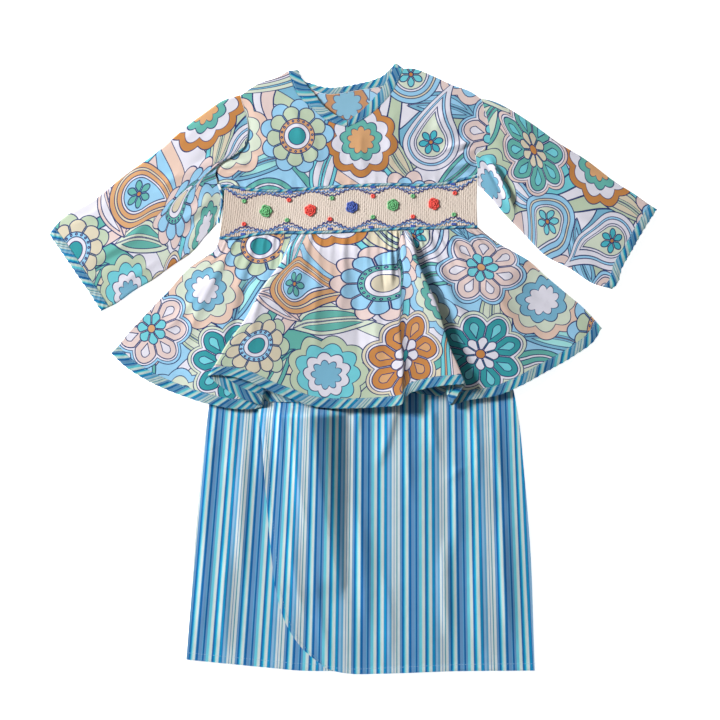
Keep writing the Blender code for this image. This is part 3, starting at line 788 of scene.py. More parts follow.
def declareSheet(grid):
    # The width of a grid's cloth, in metres; it is worked out and then not used
    width = float(max(reach(grid.swapaxes(0, 1))[-1].max() * mm, 0.01))


def gridFaces(numbers):
    corners = numbers[:-1, :-1], numbers[:-1, 1:], numbers[1:, 1:], numbers[1:, :-1]
    return np.stack([corner.ravel() for corner in corners], axis=1)


def quads(first, second):
    return [(a, b, d, c) for a, b, c, d in zip(first, first[1:], second, second[1:])]


def clothWall(name, node, restsOn, under, over, layout, slot, wrong=(0.0, 1.0), sheet=None, **fields):
    # A closed wall of cloth between two grids of points, rows running to the neck.
    # wrong: how far its upper and lower face show the wrong side; sheet: its cut, where that isn't over
    rows, columns = over.shape[:2]
    count = rows * columns
    upper = np.arange(count).reshape(rows, columns)
    rim = [int(i) for i in (*upper[0], *upper[1:, -1], *upper[-1, -2::-1], *upper[-2::-1, 0])]
    faces = quads([i + count for i in rim], rim)
    faces += gridFaces(upper).tolist() + (gridFaces(upper)[:, ::-1] + count).tolist()
    points = np.concatenate([over.reshape(-1, 3), under.reshape(-1, 3)])
    fields = {label: np.append(values.ravel(), np.zeros(count)) for label, values in fields.items()}
    piece = addPiece(name, node, points, faces, np.concatenate([layout.reshape(-1, 2)] * 2), slot,
                     wrongSide=np.repeat(wrong, count), **fields)
    declareSheet(over if sheet is None else sheet)


def clothTube(name, node, outer, inner, layout, slot):
    # A tube of cloth open at both ends, from rings of points; its first point repeats as its last
    count = outer.shape[0] * outer.shape[1]
    outside = np.arange(count).reshape(outer.shape[:2])
    faces = gridFaces(outside).tolist() + (gridFaces(outside)[:, ::-1] + count).tolist()
    faces += quads((outside[0] + count).tolist(), outside[0].tolist())
    faces += quads(outside[-1].tolist(), (outside[-1] + count).tolist())
    points = np.concatenate([outer.reshape(-1, 3), inner.reshape(-1, 3)])
    piece = addPiece(name, node, points, faces, np.concatenate([layout.reshape(-1, 2)] * 2), slot,
                     wrongSide=np.repeat((0.0, 1.0), count))
    declareSheet(outer)


def planLayout(plan, place=(0, 0), turn=0):
    c, s = math.cos(math.radians(turn)), math.sin(math.radians(turn))
    return plan[..., :2] @ np.array([[c, s], [-s, c]]) + place


# The skirt

skirt = {
    "divisions": {"back": (60, 60), "underlap": (80, 120), "wrap": (110, 130)},
    "clear": 0.1,
    "settles": (66, 40),
    "starts": [(-44, 36), (-37, 11)],  # where folds and creases begin under the peplum, and how they fade in
    "hemTurn": 7.0,
    "edgeTurn": 5.0,
    "stitchesIn": 7.0,
    "edgeStitchesIn": 5.0,
    "edgeStitchesTop": -48,
    "hemRise": 0.45,
    "hemFade": 1.5,
    "stitchDent": (0.7, 0.9),  # depth and width
    "edgeEnds": (-150, 90),  # where its edge's turning starts to show, and how it fades in
    "stripes": (-303, 259),  # the hem, and how far above it the peplum hides them
    "ripple": 0.22,
}
leaningFold = {
    "crest": (-42, -36),
    "foot": (-9, -240),
    "bow": 3,
    "valley": 4,
    "slope": 0.5,
    "dent": (0.12, 0.25),  # how the crest rounds off: depth and width, as shares of the flank's
    "behind": 48,
    "swell": 1.2,
    "swellWidth": 11,
    "swellAside": 14,
}
skirtFolds = [
    # x0, y0, x1, y1, width, height
    (-88, -80, -60, -270, 16, 1.6), (-20, -70, -14, -290, 22, 1.4), (62, -70, 70, -290, 24, 1.8),
    (126, -60, 138, -280, 20, 1.4),
]
underlapFolds = [
    (-124, -90, -132, -270, 14, 1.2),
]
wrapCreases = [
    # x0, y0, x1, y1, bow, width, height, and a lean where the flanks differ
    (-72, -30, -68, -74, 1, 3, 2.6, -0.4), (-86, -36, -84, -150, 3, 5, 2.4),
    (-77, -30, -72, -110, -2, 4, 2.0), (-66, -24, -58, -84, 2, 3, 1.9, -0.6),
    (-60, -60, -42, -176, 3, 6, 1.8, -0.5), (8, -30, 5, -70, 1, 4, 1.6, 0.4),
    (42, -26, 22, -104, -4, 8, 2.8, 0.6), (4, -130, 12, -276, -3, 12, 3.4, -0.6),
    (54, -34, 60, -140, 3, 6, 1.8), (78, -26, 86, -96, 2, 7, 2.2, 0.5),
    (98, -60, 100, -200, -4, 10, 2.4, -0.4), (94, -160, 98, -284, 4, 11, 3.4, -0.6),
    (116, -28, 122, -130, -4, 6, 2.4, -0.5), (142, -30, 156, -150, 4, 7, 2.2),
    (150, -130, 160, -284, 4, 11, 3.2, -0.5), (-62, -150, -44, -262, 5, 8, 2.2, -0.5),
    (30, -196, 36, -300, -3, 9, 2.0), (126, -170, 130, -296, 3, 8, 1.8), (86, -116, 112, -100, 1, 2.5, 1.1),
    (92, -108, 122, -96, -1, 2, 0.7), (-40, -190, -22, -300, 3, 9, 1.9, 0.5),
]
underlapCreases = [
    (-136, -34, -150, -190, 3, 8, 2.4, -0.4), (-120, -34, -126, -120, -3, 6, 1.95),
    (-104, -36, -110, -232, 5, 9, 2.7, -0.5), (-97, -30, -92, -130, -2, 4, 2.1),
    (-148, -150, -156, -288, -3, 10, 2.1), (-124, -170, -128, -292, 3, 8, 1.95, -0.4),
    (-148, -76, -132, -82, 1, 2, 0.75),
]
stripeLines = {
    # where one stripe lies at the peplum and at the hem
    "wrap": [
        (-104, -132), (-60, -74), (-45, -54), (-28, -33.5), (8.7, 7), (47, 47), (85.5, 87), (122.5, 127.5),
        (159, 168), (166.5, 178), (176, 190),
    ],
    "underlap": [
        (-145, -168), (-136.5, -158.5), (-114.7, -134.5), (-92.7, -110.3), (-70.6, -86), (-56.7, -70),
        (0, -8), (60, 52),
    ],
    "back": [(-144, -167), (60, 60), (165, 182)],
}
stripeShift = {"wrap": -49.0, "underlap": -29.6, "back": -20.0}


def stripeLayout(plan, part):
    # Follows each stripe from the hem up to the peplum, as the gathered waist draws them in
    x, y = plan[..., 0], plan[..., 1]
    hem, run = skirt["stripes"]
    share = np.clip((y - hem) / run, -0.1, 1.35)
    lines = np.array(stripeLines[part], float)
    place = lines[:, 1] + share[..., None] * (lines[:, 0] - lines[:, 1])
    span = np.clip((place <= x[..., None]).sum(axis=-1) - 1, 0, len(lines) - 2)
    low, high = [np.take_along_axis(place, span[..., None] + i, axis=-1)[..., 0] for i in (0, 1)]
    start, end = lines[span, 1], lines[span + 1, 1]
    across = start + (x - low) / (high - low) * (end - start)
    return np.stack([across + stripeShift[part], y], axis=-1)


def mainFold(plan):
    # A long fold that leans to the left: its right flank falls to an upright valley and dies out at the foot
    size = leaningFold
    x, y = plan[..., 0], plan[..., 1]
    (crestX, crestY), (footX, footY) = size["crest"], size["foot"]
    share = np.clip((y - footY) / (crestY - footY), 0, 1.1)
    crest = footX + (crestX - footX) * share - size["bow"] * np.sin(math.pi * np.clip(share, 0, 1))
    width = np.maximum(footX - crest, 0.5) + size["valley"] * ease(share * 6)
    height = size["slope"] * (1 + 0.3 * share) * width * ease(share * 8)
    across = (x - crest) / width
    inside = np.where(across < 1, 1 - np.clip(across, 0, 1), 0)
    dent, dentWidth = size["dent"]
    flank = height * (inside - dent * np.exp(-(across / dentWidth) ** 2))
    behind = height * (1 - dent) * np.exp(-(np.minimum(across, 0) * width / size["behind"]) ** 2)
    swell = size["swell"] * ease(share * 4)
    swell = swell * np.exp(-((x - footX - size["swellAside"]) / size["swellWidth"]) ** 2)
    return np.where(across < 0, behind, flank) + swell


def turnedEdge(distance, turn):
    # The doubled cloth of a hem, with the dent of its line of stitches
    depth, width = skirt["stitchDent"]
    dent = depth * np.exp(-((distance - turn) / width) ** 2)
    return skirt["hemRise"] * (ease((turn - distance) / skirt["hemFade"] + 0.5) - dent)


def lineAt(grid, distances, depth):
    # The line across a grid at one distance from its first row
    columns = range(grid.shape[1])
    return np.array([[np.interp(depth, distances[:, j], grid[:, j, k]) for k in range(3)] for j in columns])


hemLines = []  # where the skirt's lines of machine stitches run


def makeSkirt():
    panels = [
        # name, hem, left side, right side, folds, creases, rests on
        ("back", backSkirtHem, skirtLeft, skirtRight, [], [], []),
        ("underlap", underlapHem, skirtLeft, underlapEdge, underlapFolds, underlapCreases, ["skirt_back"]),
        ("wrap", wrapHem, wrapEdge, skirtRight, skirtFolds, wrapCreases, ["skirt_underlap"]),
    ]
    for name, hem, left, right, folds, creases, below in panels:
        across, along = lattice(*skirt["divisions"][name])
        plan = patch(rail(hem), rail([left[-1], right[-1]]), rail(left), rail(right), across, along)
        x, y = plan[..., 0], plan[..., 1]
        under = np.full(plan.shape[:2], skirt["clear"])
        over = under + shell
        if name != "back":
            fromHem, fromEdge = reach(plan), reachAcross(plan)
            crease = creased(plan, creases) + rippled(plan, skirt["ripple"]) + skirt["ripple"]
            if name == "wrap":
                crease = crease + mainFold(plan)
            folded, shown = [ease((start - y) / fade) for start, fade in skirt["starts"]]
            under = layer + foldHeight(folds, plan) * folded + np.maximum(crease, 0) * shown + skirt["clear"]
            if name == "wrap":
                settles, fall = skirt["settles"]
                under = under + layer * (1 - ease((x - settles) / fall))
            over = under + shell + turnedEdge(fromHem, skirt["hemTurn"])
            if name == "wrap":
                start, fade = skirt["edgeEnds"]
                over = over + turnedEdge(fromEdge, skirt["edgeTurn"]) * ease((start - y) / fade)
        grid = raised(plan, over)
        clothWall(f"skirt{name.capitalize()}Cloth", f"skirt_{name}", below, raised(plan, under), grid,
                  stripeLayout(plan, name), "skirt_stripe")
        if name != "back":
            line = lineAt(grid, fromHem, skirt["stitchesIn"])
            hemLines.append(line[line[:, 0] < (wrapHem[0][0] if name == "underlap" else np.inf)])
        if name == "wrap":
            line = lineAt(grid.swapaxes(0, 1), fromEdge.T, skirt["edgeStitchesIn"])
            hemLines.append(line[line[:, 1] < skirt["edgeStitchesTop"]])


makeSkirt()
print("skirt made")


# The top's body

top = {
    "puff": 2.0,
    "puffEdges": (-120, 115, 190, 300),
    "puffFades": (60, 60, 30, 70),
    "frontDivisions": (150, 64),
    "frontFoot": (-136, 124.5),
    "backDivisions": (110, 80),
    "backHeights": (0.02, 0.9),
    "clear": 0.1,
    "atSide": 0.35,  # the share of the height left at the sides
    "sideFade": 9,
    "widest": 300,
    "deepest": -0.4,
    "edgeFade": (14, 10),
    "besideSleeve": 0.35,
    "tuckedLeft": (190, 226),
    "tuckedRight": (219, 246),
    "crease": 1.1,
    "ripple": 0.25,
    "bindingWall": 0.7,
    "bindingBulge": 0.45,
    "pucker": 0.28,
    "puckerPitch": 6.5,
}
bodiceFolds = [
    (-137, 200, -108, 204, 4, 1.6), (128, 214, 96, 222, 7, 1.6), (122, 205, 88, 208, 6, 1.4),
    (-98, 262, -84, 214, 12, 1.2), (104, 262, 92, 230, 12, 1.4),
]
bodiceCreases = [
    (-134, 196, -96, 199, 2, 3, 1.54), (-132, 206, -92, 212, -3, 4, -1.26), (-112, 224, -70, 206, 3, 5, 1.26),
    (-100, 246, -78, 208, 4, 6, -0.98), (-70, 270, -52, 214, -6, 8, 1.12), (-40, 244, -30, 188, 3, 6, 0.98),
    (-12, 236, -14, 188, -3, 6, -0.84), (8, 240, 14, 190, 3, 7, 0.98), (44, 262, 40, 196, 5, 8, 0.98),
    (70, 278, 62, 206, -6, 8, -0.98), (126, 226, 84, 214, 3, 4, 1.68), (124, 214, 78, 206, -2, 4, -1.4),
    (124, 204, 86, 196, 2, 4, 1.54), (122, 196, 96, 191, 1, 3, -1.12), (116, 240, 98, 204, -3, 5, 1.12),
    (123, 222, 100, 211, 2, 3, -1.5), (100, 262, 82, 232, 3, 7, 0.98),
]
seamGathers = [
    # x on the seam above the smocking, how far up it runs, width, height
    (-126, 9, 1.8, 0.6), (-117, 14, 2.2, 0.7), (-106, 10, 1.7, 0.5), (-97, 18, 2.4, 0.7), (-85, 12, 2, 0.5),
    (-74, 20, 2.6, 0.7), (-62, 11, 1.9, 0.5), (-51, 16, 2.3, 0.6), (-39, 10, 2, 0.5), (-27, 19, 2.6, 0.7),
    (-15, 12, 2, 0.5), (-3, 16, 2.4, 0.6), (10, 10, 1.9, 0.5), (21, 18, 2.5, 0.6), (34, 12, 2.1, 0.5),
    (46, 20, 2.6, 0.7), (58, 11, 1.9, 0.5), (70, 16, 2.3, 0.6), (82, 12, 2, 0.6), (93, 19, 2.5, 0.7),
    (104, 13, 2, 0.7), (114, 17, 2.2, 0.8),
]


def bodiceRise(plan):
    x, y = plan[..., 0], plan[..., 1]
    left, right, bottom, upper = top["puffEdges"]
    inside = 1
    for distance, fade in zip((x - left, right - x, y - bottom, upper - y), top["puffFades"]):
        inside = inside * ease(distance / fade)
    return top["puff"] * inside + foldHeight(bodiceFolds, plan)


def gathered(x, distance):
    # Small flutes that start at the seam above the smocking and die out in the cloth
    total = np.zeros(np.shape(x))
    for place, length, width, height in seamGathers:
        spread = width * (1 + distance / 30)
        total += height * np.exp(-((x - place) / spread) ** 2) * (1 - ease(distance / length))
    return total


seamLines = []  # where the top's lines of machine stitches run


def makeBodice():
    across, along = lattice(*top["backDivisions"])
    north = chain((0.2, shoulderLeft), (0.8, neckBackPanel), (1, shoulderRight))
    south = besidePiping(pipingWaist, seamGap / 2, backSideLeft[0][0], backSideRight[0][0])
    plan = patch(south, north, rail(backSideLeft), rail(backSideRight), across, along)
    under, over = [raised(plan, height) for height in top["backHeights"]]
    clothWall("backBodiceCloth", "bodice_back", [], under, over, planLayout(plan, (90, 40), 90),
              "print_cotton", (0.25, 0.0))

    across, along = lattice(*top["frontDivisions"])
    north = chain((0.2, shoulderLeft), (0.5, neckLeftPanel), (0.8, neckRightPanel[::-1]), (1, shoulderRight))
    south = besidePiping(pipingTop, pipingRoom, *top["frontFoot"])
    room = top["besideSleeve"]
    west = besideSleeve(sleeveLeftArm, tuple(south(0.0)), shoulderLeft[0], room, top["tuckedLeft"])
    east = besideSleeve(sleeveRightArm, tuple(south(1.0)), shoulderRight[-1], -room, top["tuckedRight"])
    plan = patch(south, north, west, east, across, along)
    fromLeft = np.minimum(reachAcross(plan), top["widest"])
    fromSide = np.minimum(fromLeft, fromLeft[:, -1:] - fromLeft)
    rise = bodiceRise(plan) + rippled(plan, top["ripple"]) + top["ripple"]
    rise = rise * (top["atSide"] + (1 - top["atSide"]) * ease(fromSide / top["sideFade"]))
    crease = creased(plan, bodiceCreases) + gathered(plan[..., 0], reach(plan))
    sideways, upward = top["edgeFade"]
    edge = ease(np.minimum(across, 1 - across) * sideways) * ease((1 - along) * upward)
    under = layer + top["clear"] + rise + np.maximum(top["crease"] * crease, top["deepest"]) * edge
    clothWall("frontBodiceCloth", "bodice_front", ["backBodiceCloth"], raised(plan, under),
              raised(plan, under + shell), planLayout(plan, (40, 30)), "print_cotton")


def boundNeck(side, seam, opening, divisions, onFront):
    # A bias strip from its seam with the panel to its folded edge, rounded over and puckered by its stitches
    across, along = lattice(*divisions)
    south, north = rail(seam)(across), rail(opening)(across)
    width = np.linalg.norm(north - south, axis=2)
    length = reach(south[0])
    share = seamGap / width + along * (1 - seamGap / width)
    pucker = puckered(length, top, 0.8, 9)
    plan = south + (share + pucker * along ** 2 / width)[..., None] * (north - south)
    under = np.full(plan.shape[:2], top["backHeights"][0])
    if onFront:
        under = layer + top["clear"] + bodiceRise(plan) + top["ripple"]
    rise = roundedOver(along, 0.06) + 0.35 * pucker * np.sin(math.pi * along)
    over = raised(plan, under + top["bindingWall"] + rise)
    forward = unit(np.gradient(south[0], axis=0))
    inward = forward[:, ::-1] * (-1, 1)
    inward *= np.sign(((north[0] - south[0]) * inward).sum(axis=1).mean())
    away = plan - south
    layout = np.stack([length + (away * forward).sum(axis=2), (away * inward).sum(axis=2)], axis=2)
    clothWall(f"{side}NeckBinding", f"neck_binding_{side}", [], raised(plan, under), over, layout,
              "bias_stripe", (0.0, 0.0))
    seamLines.append(over[1])


makeBodice()
boundNeck("left", neckLeftPanel, neckLeftOpen, (70, 7), True)
boundNeck("right", neckRightPanel[::-1], neckRightOpen[::-1], (70, 7), True)
boundNeck("back", neckBackPanel, neckBackOpen, (100, 6), False)
print("bodice made")


# The sleeves

sleeves = {
    "radius": 1.8,
    "puff": 1.6,
    "rings": 60,
    "cuffRings": 8,
    "wander": 0.9,
    "wall": 0.8,
    "cuffWall": 1.2,
    "cuffWidth": 9,
    "cuffStep": 0.2,
    "cuffLift": 0.05,
    "lap": 0.1,  # how far the sleeve runs into its armhole, and stops short of the cuff
    "crease": 1.4,
    "ripple": 0.22,
    "bulge": 0.5,
    "pucker": 0.65,
    "puckerPitch": 6.6,
}
sleeveCreases = {
    "left": [
        (-120, 262, -180, 216, 6, 8, 1.7), (-134, 226, -186, 190, -5, 7, -1.36),
        (-140, 206, -200, 172, 6, 8, 1.87), (-138, 180, -184, 140, -5, 6, 1.53),
        (-142, 160, -176, 120, 3, 5, -1.19), (-196, 204, -244, 168, 4, 8, 1.36),
        (-204, 150, -256, 112, -6, 9, 1.53), (-222, 118, -262, 92, 4, 6, -1.02),
        (-236, 176, -290, 138, -3, 7, 1.19), (-190, 108, -240, 76, 3, 6, 1.36),
    ],
    "right": [
        (134, 260, 186, 222, -6, 8, 1.7), (142, 236, 200, 196, 5, 7, -1.36),
        (132, 215, 164, 148, -3, 4, 4.8, 0.8), (127, 211, 153, 158, -3, 3, -2.4),
        (142, 206, 178, 150, 3, 6, -1.2), (150, 200, 214, 152, 6, 8, 1.7), (178, 150, 240, 108, -5, 7, 1.36),
        (206, 206, 262, 170, -4, 8, -1.19), (214, 160, 276, 126, 5, 9, 1.53),
        (238, 110, 266, 94, 3, 6, -0.85), (196, 226, 244, 196, 3, 7, 1.19),
    ],
}


tubePoints = {"flat": 64, "round": 9}  # across each face of a tube, and round its edges


def tubeRings(sides, ends, begin, end, size, wall, rings, rise, drop=0):
    # Outer and inner rings of a tube pressed flat; drop lowers its upper side at the first ring
    start = np.linspace(0, 1, rings + 1)[:, None]
    breadth = np.linalg.norm(sides[1](start[:, 0]) - sides[0](start[:, 0]), axis=1)[:, None]
    found, radius = [], size["radius"]
    face = 0.5 - 0.5 * np.cos(np.linspace(0.1, 1, tubePoints["flat"]) * math.pi)
    face = (face - face[0]) / (1 - face[0])
    arc = np.radians(np.linspace(0, 180, tubePoints["round"])[1:-1])
    for turn in (radius, radius - wall):
        flat = radius + face * (breadth - 2 * radius)
        fromEdge = np.concatenate([
            flat,
            breadth - radius + turn * np.sin(arc),
            flat[:, ::-1],
            np.broadcast_to(radius - turn * np.sin(arc), (len(breadth), len(arc))),
            flat[:, :1],
        ], axis=1)
        upper = np.concatenate([face * 0, arc * 0, np.sin(math.pi * face[::-1]) ** 0.7, arc * 0, [0]])
        height = np.concatenate([
            np.full(len(face), radius - turn),
            radius - turn * np.cos(arc),
            radius + turn + size["puff"] * np.sin(math.pi * face[::-1]),
            radius + turn * np.cos(arc),
            [radius - turn],
        ])
        across = fromEdge / breadth
        share = begin(across) + start * (end(across) - begin(across))
        plan = patch(ends[0], ends[1], sides[0], sides[1], across, share)
        wander = np.sin(share * 19 + 3 * across) * ease(share * 6) * ease((1 - share) * 6)
        plan[..., 1] += size["wander"] * wander
        settle = drop * (1 - ease(share * 9)) * (height > radius)
        found.append(raised(plan, height + upper * rise(plan, share) - settle))
    return found


def makeSleeve(side, under, upper, arm, cuff, turn, place):
    size = sleeves
    sides, ends = (rail(under), rail(upper)), (rail(arm), rail(cuff))
    lengths = [np.linalg.norm(line(1.0) - line(0.0)) for line in sides]

    def atDepth(depth):
        return lambda across: depth / (lengths[0] + across * (lengths[1] - lengths[0]))

    def beforeCuff(depth):
        return lambda across: 1 - atDepth(depth)(across)

    def wrinkles(plan, share):
        crease = creased(plan, sleeveCreases[side]) + rippled(plan, size["ripple"])
        return (size["crease"] * crease + 0.2) * ease(share * 12) * ease((1 - share) * 14)

    outer, inner = tubeRings(sides, ends, atDepth(-size["lap"]), beforeCuff(size["cuffWidth"] + size["lap"]),
                             size, size["wall"], size["rings"], wrinkles, 1.0)
    around = reachAcross(outer)
    along = reach(outer).mean(axis=1, keepdims=True) + 0 * around
    layout = planLayout(np.stack([around - around[:, -1:] / 2, -along], axis=2), place, turn)
    clothTube(f"{side}SleeveCloth", f"sleeve_{side}", outer, inner, layout, "print_cotton")

    bound = {**size, "radius": size["radius"] + size["cuffStep"]}
    outer, inner = tubeRings(sides, ends, beforeCuff(size["cuffWidth"]), lambda across: 1, bound,
                             size["cuffWall"], size["cuffRings"], lambda plan, share: size["cuffLift"])
    around = reachAcross(outer)
    along = np.linspace(0, 1, size["cuffRings"] + 1)[:, None]
    pucker = puckered(around, size, 1, 11)
    swell = np.sin(math.pi * along) * (size["bulge"] + 0.5 * pucker)
    outer[..., 2] += swell * (outer[..., 2] > size["radius"])
    outer += (pucker * along ** 2)[..., None] * unit(outer[-1] - outer[0]) * (1, 1, 0)
    across, upper = np.array(cuff[-1]) - cuff[0], np.clip(outer[..., 2] / (2 * size["radius"]), 0, 1)
    across = (outer[..., :2] - cuff[0]) @ unit(across)
    across = (1 - upper) * across + upper * (2 * across.max() - across)
    layout = np.stack([-across if side == "left" else across, along * size["cuffWidth"] + 0 * around], axis=2)
    seamLines.append(outer[1][outer[1, :, 2] > size["radius"] + 1])
    clothTube(f"{side}CuffBinding", f"cuff_binding_{side}", outer, inner, layout, "bias_stripe")


makeSleeve("left", sleeveLeftUnder, sleeveLeftTop, sleeveLeftArm, sleeveLeftCuff, -36, (70, -20))
makeSleeve("right", sleeveRightUnder, sleeveRightTop, sleeveRightArm, sleeveRightCuff, 36, (-20, 60))
print("sleeves made")


# The peplum

peplum = {
    "foldStep": 3.4,
    "clear": 1.0,
    "atSides": 0.25,
    "rowSpacing": 1.15,
    "foldOpening": 0.12,
    "sideReach": 60,
    "bindingWidth": 10,
    "finer": 7,
    "rows": 60,
    "bindingRows": 8,
    "bindingHalf": 0.35,
    "bindingLap": 0.12,
    "facingRows": 5,
    "facingFrom": 12,
    "facingDepths": (-0.95, -0.5, -0.6),
    "backWaist": 258,
    "backClear": 0.05,
    "backDivisions": (180, 40),
    "backBindingDivisions": (220, 7),
    "backBindingGap": 0.15,
    "backBindingRise": (0.02, 0.85, 0.3),  # under it, its wall and its bulge
    "wander": 1.3,
    "ripple": 0.3,
    "pucker": 0.3,
    "puckerPitch": 7.5,
}
# The front hangs from the waist in lines, two of them turning under in an S-fold
peplumLines = [
    # waist, x, y, ply, puff, steps
    (-134, -242, 15, 0, 0, 2), (-130, -231, 4, 0, 0.5, 2), (-122, -207, -12, 0, 1.5, 3),
    (-110, -170, -28, 0, 1, 2), (-98, -144, -36, 0, 1.5, 2), (-88, -120, -40.5, 0, 1, 1),
    (-79, -103, -41, 0, 0.5, 1), (-72, -94, -39.5, 0, 0, 1), (-71, -90.8, -38, 0.12, 0, 1),
    (-70.5, -90, -37.5, 0.38, 0, 1), (-70, -90.8, -37, 0.64, 0, 1), (-69, -94, -36, 0.82, 0.5, 1),
    (-64, -108, -31.5, 1, 2, 1), (-60, -125, -22.5, 1.2, 3.6, 2), (-56, -140, -11.5, 1.38, 4.8, 1),
    (-55.2, -143, -9, 1.46, 5.3, 1), (-54.6, -144, -8, 1.68, 5.5, 1), (-54, -143, -7.3, 1.94, 5.5, 1),
    (-52.8, -140, -7, 2.06, 5.5, 1), (-50, -131, -7, 2, 5, 1), (-46, -107, -12, 2, 4, 2),
    (-41, -81, -23.5, 1.8, 3, 2), (-33, -59, -31.5, 1.6, 2.5, 1), (-26, -46, -36.5, 1.4, 2, 1),
    (-12, -23, -40, 1.2, 1.5, 2), (4, 2, -40, 1, 2.5, 2), (25, 32, -38.5, 1, 4.5, 2),
    (38, 45, -37, 1, 7.5, 1), (43, 48.5, -36, 1, 8.5, 1), (45, 51, -31, 1, 7, 1),
    (47, 56, -25.5, 1.1, 4.5, 1), (49, 66, -22, 1.3, 4, 1), (50.5, 79, -19, 1.6, 4.5, 1),
    (52, 94, -17, 1.9, 6, 1), (53, 104, -16.2, 2, 6.5, 1), (53.5, 109, -15.8, 2, 6.5, 1),
    (54, 110.8, -16, 1.85, 6.5, 1), (54.5, 111.3, -16.6, 1.5, 6.5, 1), (55, 110.6, -18, 1.2, 6, 1),
    (56, 107.5, -22, 1, 4.5, 1), (57, 103, -29, 1, 3, 1), (58, 98.5, -35, 1, 1, 1),
    (58.6, 97.2, -36.3, 0.85, 0.5, 1), (59, 96.8, -36.8, 0.5, 0.2, 1), (59.5, 97.4, -37, 0.15, 0, 1),
    (61, 100.5, -36.6, 0, 0, 1), (66, 112, -33, 0, 0.5, 2), (78, 147, -26.5, 0, 1.5, 2),
    (88, 163, -20, 0, 2, 2), (100, 193, -4, 0, 2, 2), (110, 221, 12, 0, 1.5, 2), (120, 242, 28, 0, 0.5, 1),
    (124.5, 249, 40, 0, 0, 0),
]
foldedParts = [(-76, -50, 4), (51, 64, 3)]  # where the S-folds hang from the waist, and how they fade
flutes = [
    # place on the waist, where it starts and ends down the cloth (0 to 1), width on the waist, height
    (-127, 0, 0.4, 1.5, 0.5), (-119, 0, 0.7, 2.2, 0.7), (-108, 0, 0.3, 1.6, 0.5), (-99, 0, 0.9, 2.6, 1.0),
    (-88, 0, 0.35, 1.5, 0.5), (-79, 0, 0.6, 1.8, 0.7), (-68, 0, 0.3, 1.1, 0.8), (-62, 0, 0.22, 1.0, 0.9),
    (-50, 0, 0.3, 1.2, 0.8), (-42, 0, 0.85, 2.4, 1.0), (-31, 0, 0.25, 1.4, 0.4), (-20, 0, 0.5, 1.8, 0.6),
    (-8, 0.02, 0.95, 2.6, 1.0), (3, 0, 0.3, 1.5, 0.4), (14, 0, 0.6, 2.0, 0.7), (24, 0, 0.25, 1.4, 0.6),
    (32, 0, 0.4, 1.3, 1.0), (37.5, 0, 0.26, 1.1, 1.2), (43.5, 0, 0.3, 1.1, 1.1), (49, 0, 0.34, 1.2, 1.0),
    (65, 0, 0.45, 1.3, 0.8), (73, 0, 0.85, 2.2, 0.9), (83, 0, 0.3, 1.5, 0.5), (92, 0.05, 0.9, 2.6, 1.0),
    (104, 0, 0.4, 1.7, 0.6), (114, 0, 0.55, 1.8, 0.7), (121, 0, 0.3, 1.2, 0.5),
]
peplumCreases = [
    (-118, 120, -172, 10, 6, 8, 1.9), (-140, 100, -200, 28, -5, 7, 1.52), (-100, 118, -132, 8, -4, 7, -1.33),
    (-84, 112, -104, 6, 3, 6, 1.52), (-32, 118, -36, 6, 3, 8, 1.52), (-2, 122, 4, -10, -4, 9, -1.52),
    (22, 118, 28, -14, 3, 8, 1.33), (80, 118, 130, 20, 5, 8, 1.71), (98, 122, 168, 34, -5, 9, 1.71),
    (118, 126, 204, 54, 5, 8, 1.52), (72, 96, 96, 24, -3, 6, -1.33), (37, 124, 38.5, 78, 0, 4.5, 3.4),
    (29.5, 117, 32, 72, 1, 2.8, -1.5), (45.5, 120, 50, 88, -1, 2, -1.8),
]


def fluted(waist, along):
    # Gathers that start at the waist seam; the longer ones open into the flare
    total = np.zeros(along.shape)
    for place, start, end, width, height in flutes:
        rise = ease((along - start) / 0.03 + 0.35) * (1 - ease((along - start) / (end - start)))
        aside = (waist - place) / (width * (1 + 1.2 * along))
        total += height * rise * (np.exp(-aside ** 2) - 0.45 * np.exp(-(aside - 1.7) ** 2))
    return total


def peplumGrid():
    # The middle of the front's cloth, with the share of its length, and the reach of its hem
    table = np.array([row[:-1] for row in peplumLines], float)
    steps = [row[-1] * peplum["finer"] for row in peplumLines[:-1]]
    x, y, waist, ply, puff = smoothed(table[:, [1, 2, 0, 3, 4]], steps).T
    left, right = waist[0], waist[-1]
    start = besidePiping(pipingWaist, -pipingRoom, left, right)((waist - left) / (right - left))
    end = np.stack([x, y], axis=-1)
    length = np.linalg.norm(end - start, axis=1)
    bindingAt = 1 - peplum["bindingWidth"] / length
    shares = np.linspace(0, 1, peplum["rows"]) ** peplum["rowSpacing"]
    strip = np.linspace(0, 1, peplum["bindingRows"] + 1)[1:, None]
    along = np.array([*(shares[:, None] * bindingAt), *(bindingAt + strip * (1 - bindingAt))])
    plan = start + along[..., None] * (end - start)
    for edge, column in ((peplumLeft, 0), (peplumRight, -1)):
        away = np.linalg.norm(end - end[column], axis=1)
        plan += bend(rail(edge), along[..., None]) * (1 - ease(away / peplum["sideReach"]))[:, None]
    loose = ease(along * 5) * ease((1 - along) * 4) * ease((waist - left) / 8) * ease((right - waist) / 8)
    plan[..., 0] += peplum["wander"] * np.sin(plan[..., 1] / 11 + plan[..., 0] / 37) * loose
    folded = sum(ease((waist - low) / fade) * ease((high - waist) / fade) for low, high, fade in foldedParts)
    height = liftOverSkirt(plan) + layer + peplum["clear"]
    height = height + peplum["foldStep"] * ply * ease(along / peplum["foldOpening"]) + puff * along
    height = height + fluted(waist, along) * (1 - 0.8 * folded) + rippled(plan, peplum["ripple"])
    height = height + creased(plan, peplumCreases) * (1 - 0.7 * folded)
    height = height + peplum["atSides"] * ease((waist - left) / 5) * ease((right - waist) / 5)
    grid = raised(plan, height)
    return grid, along, length, reach(grid[-1])


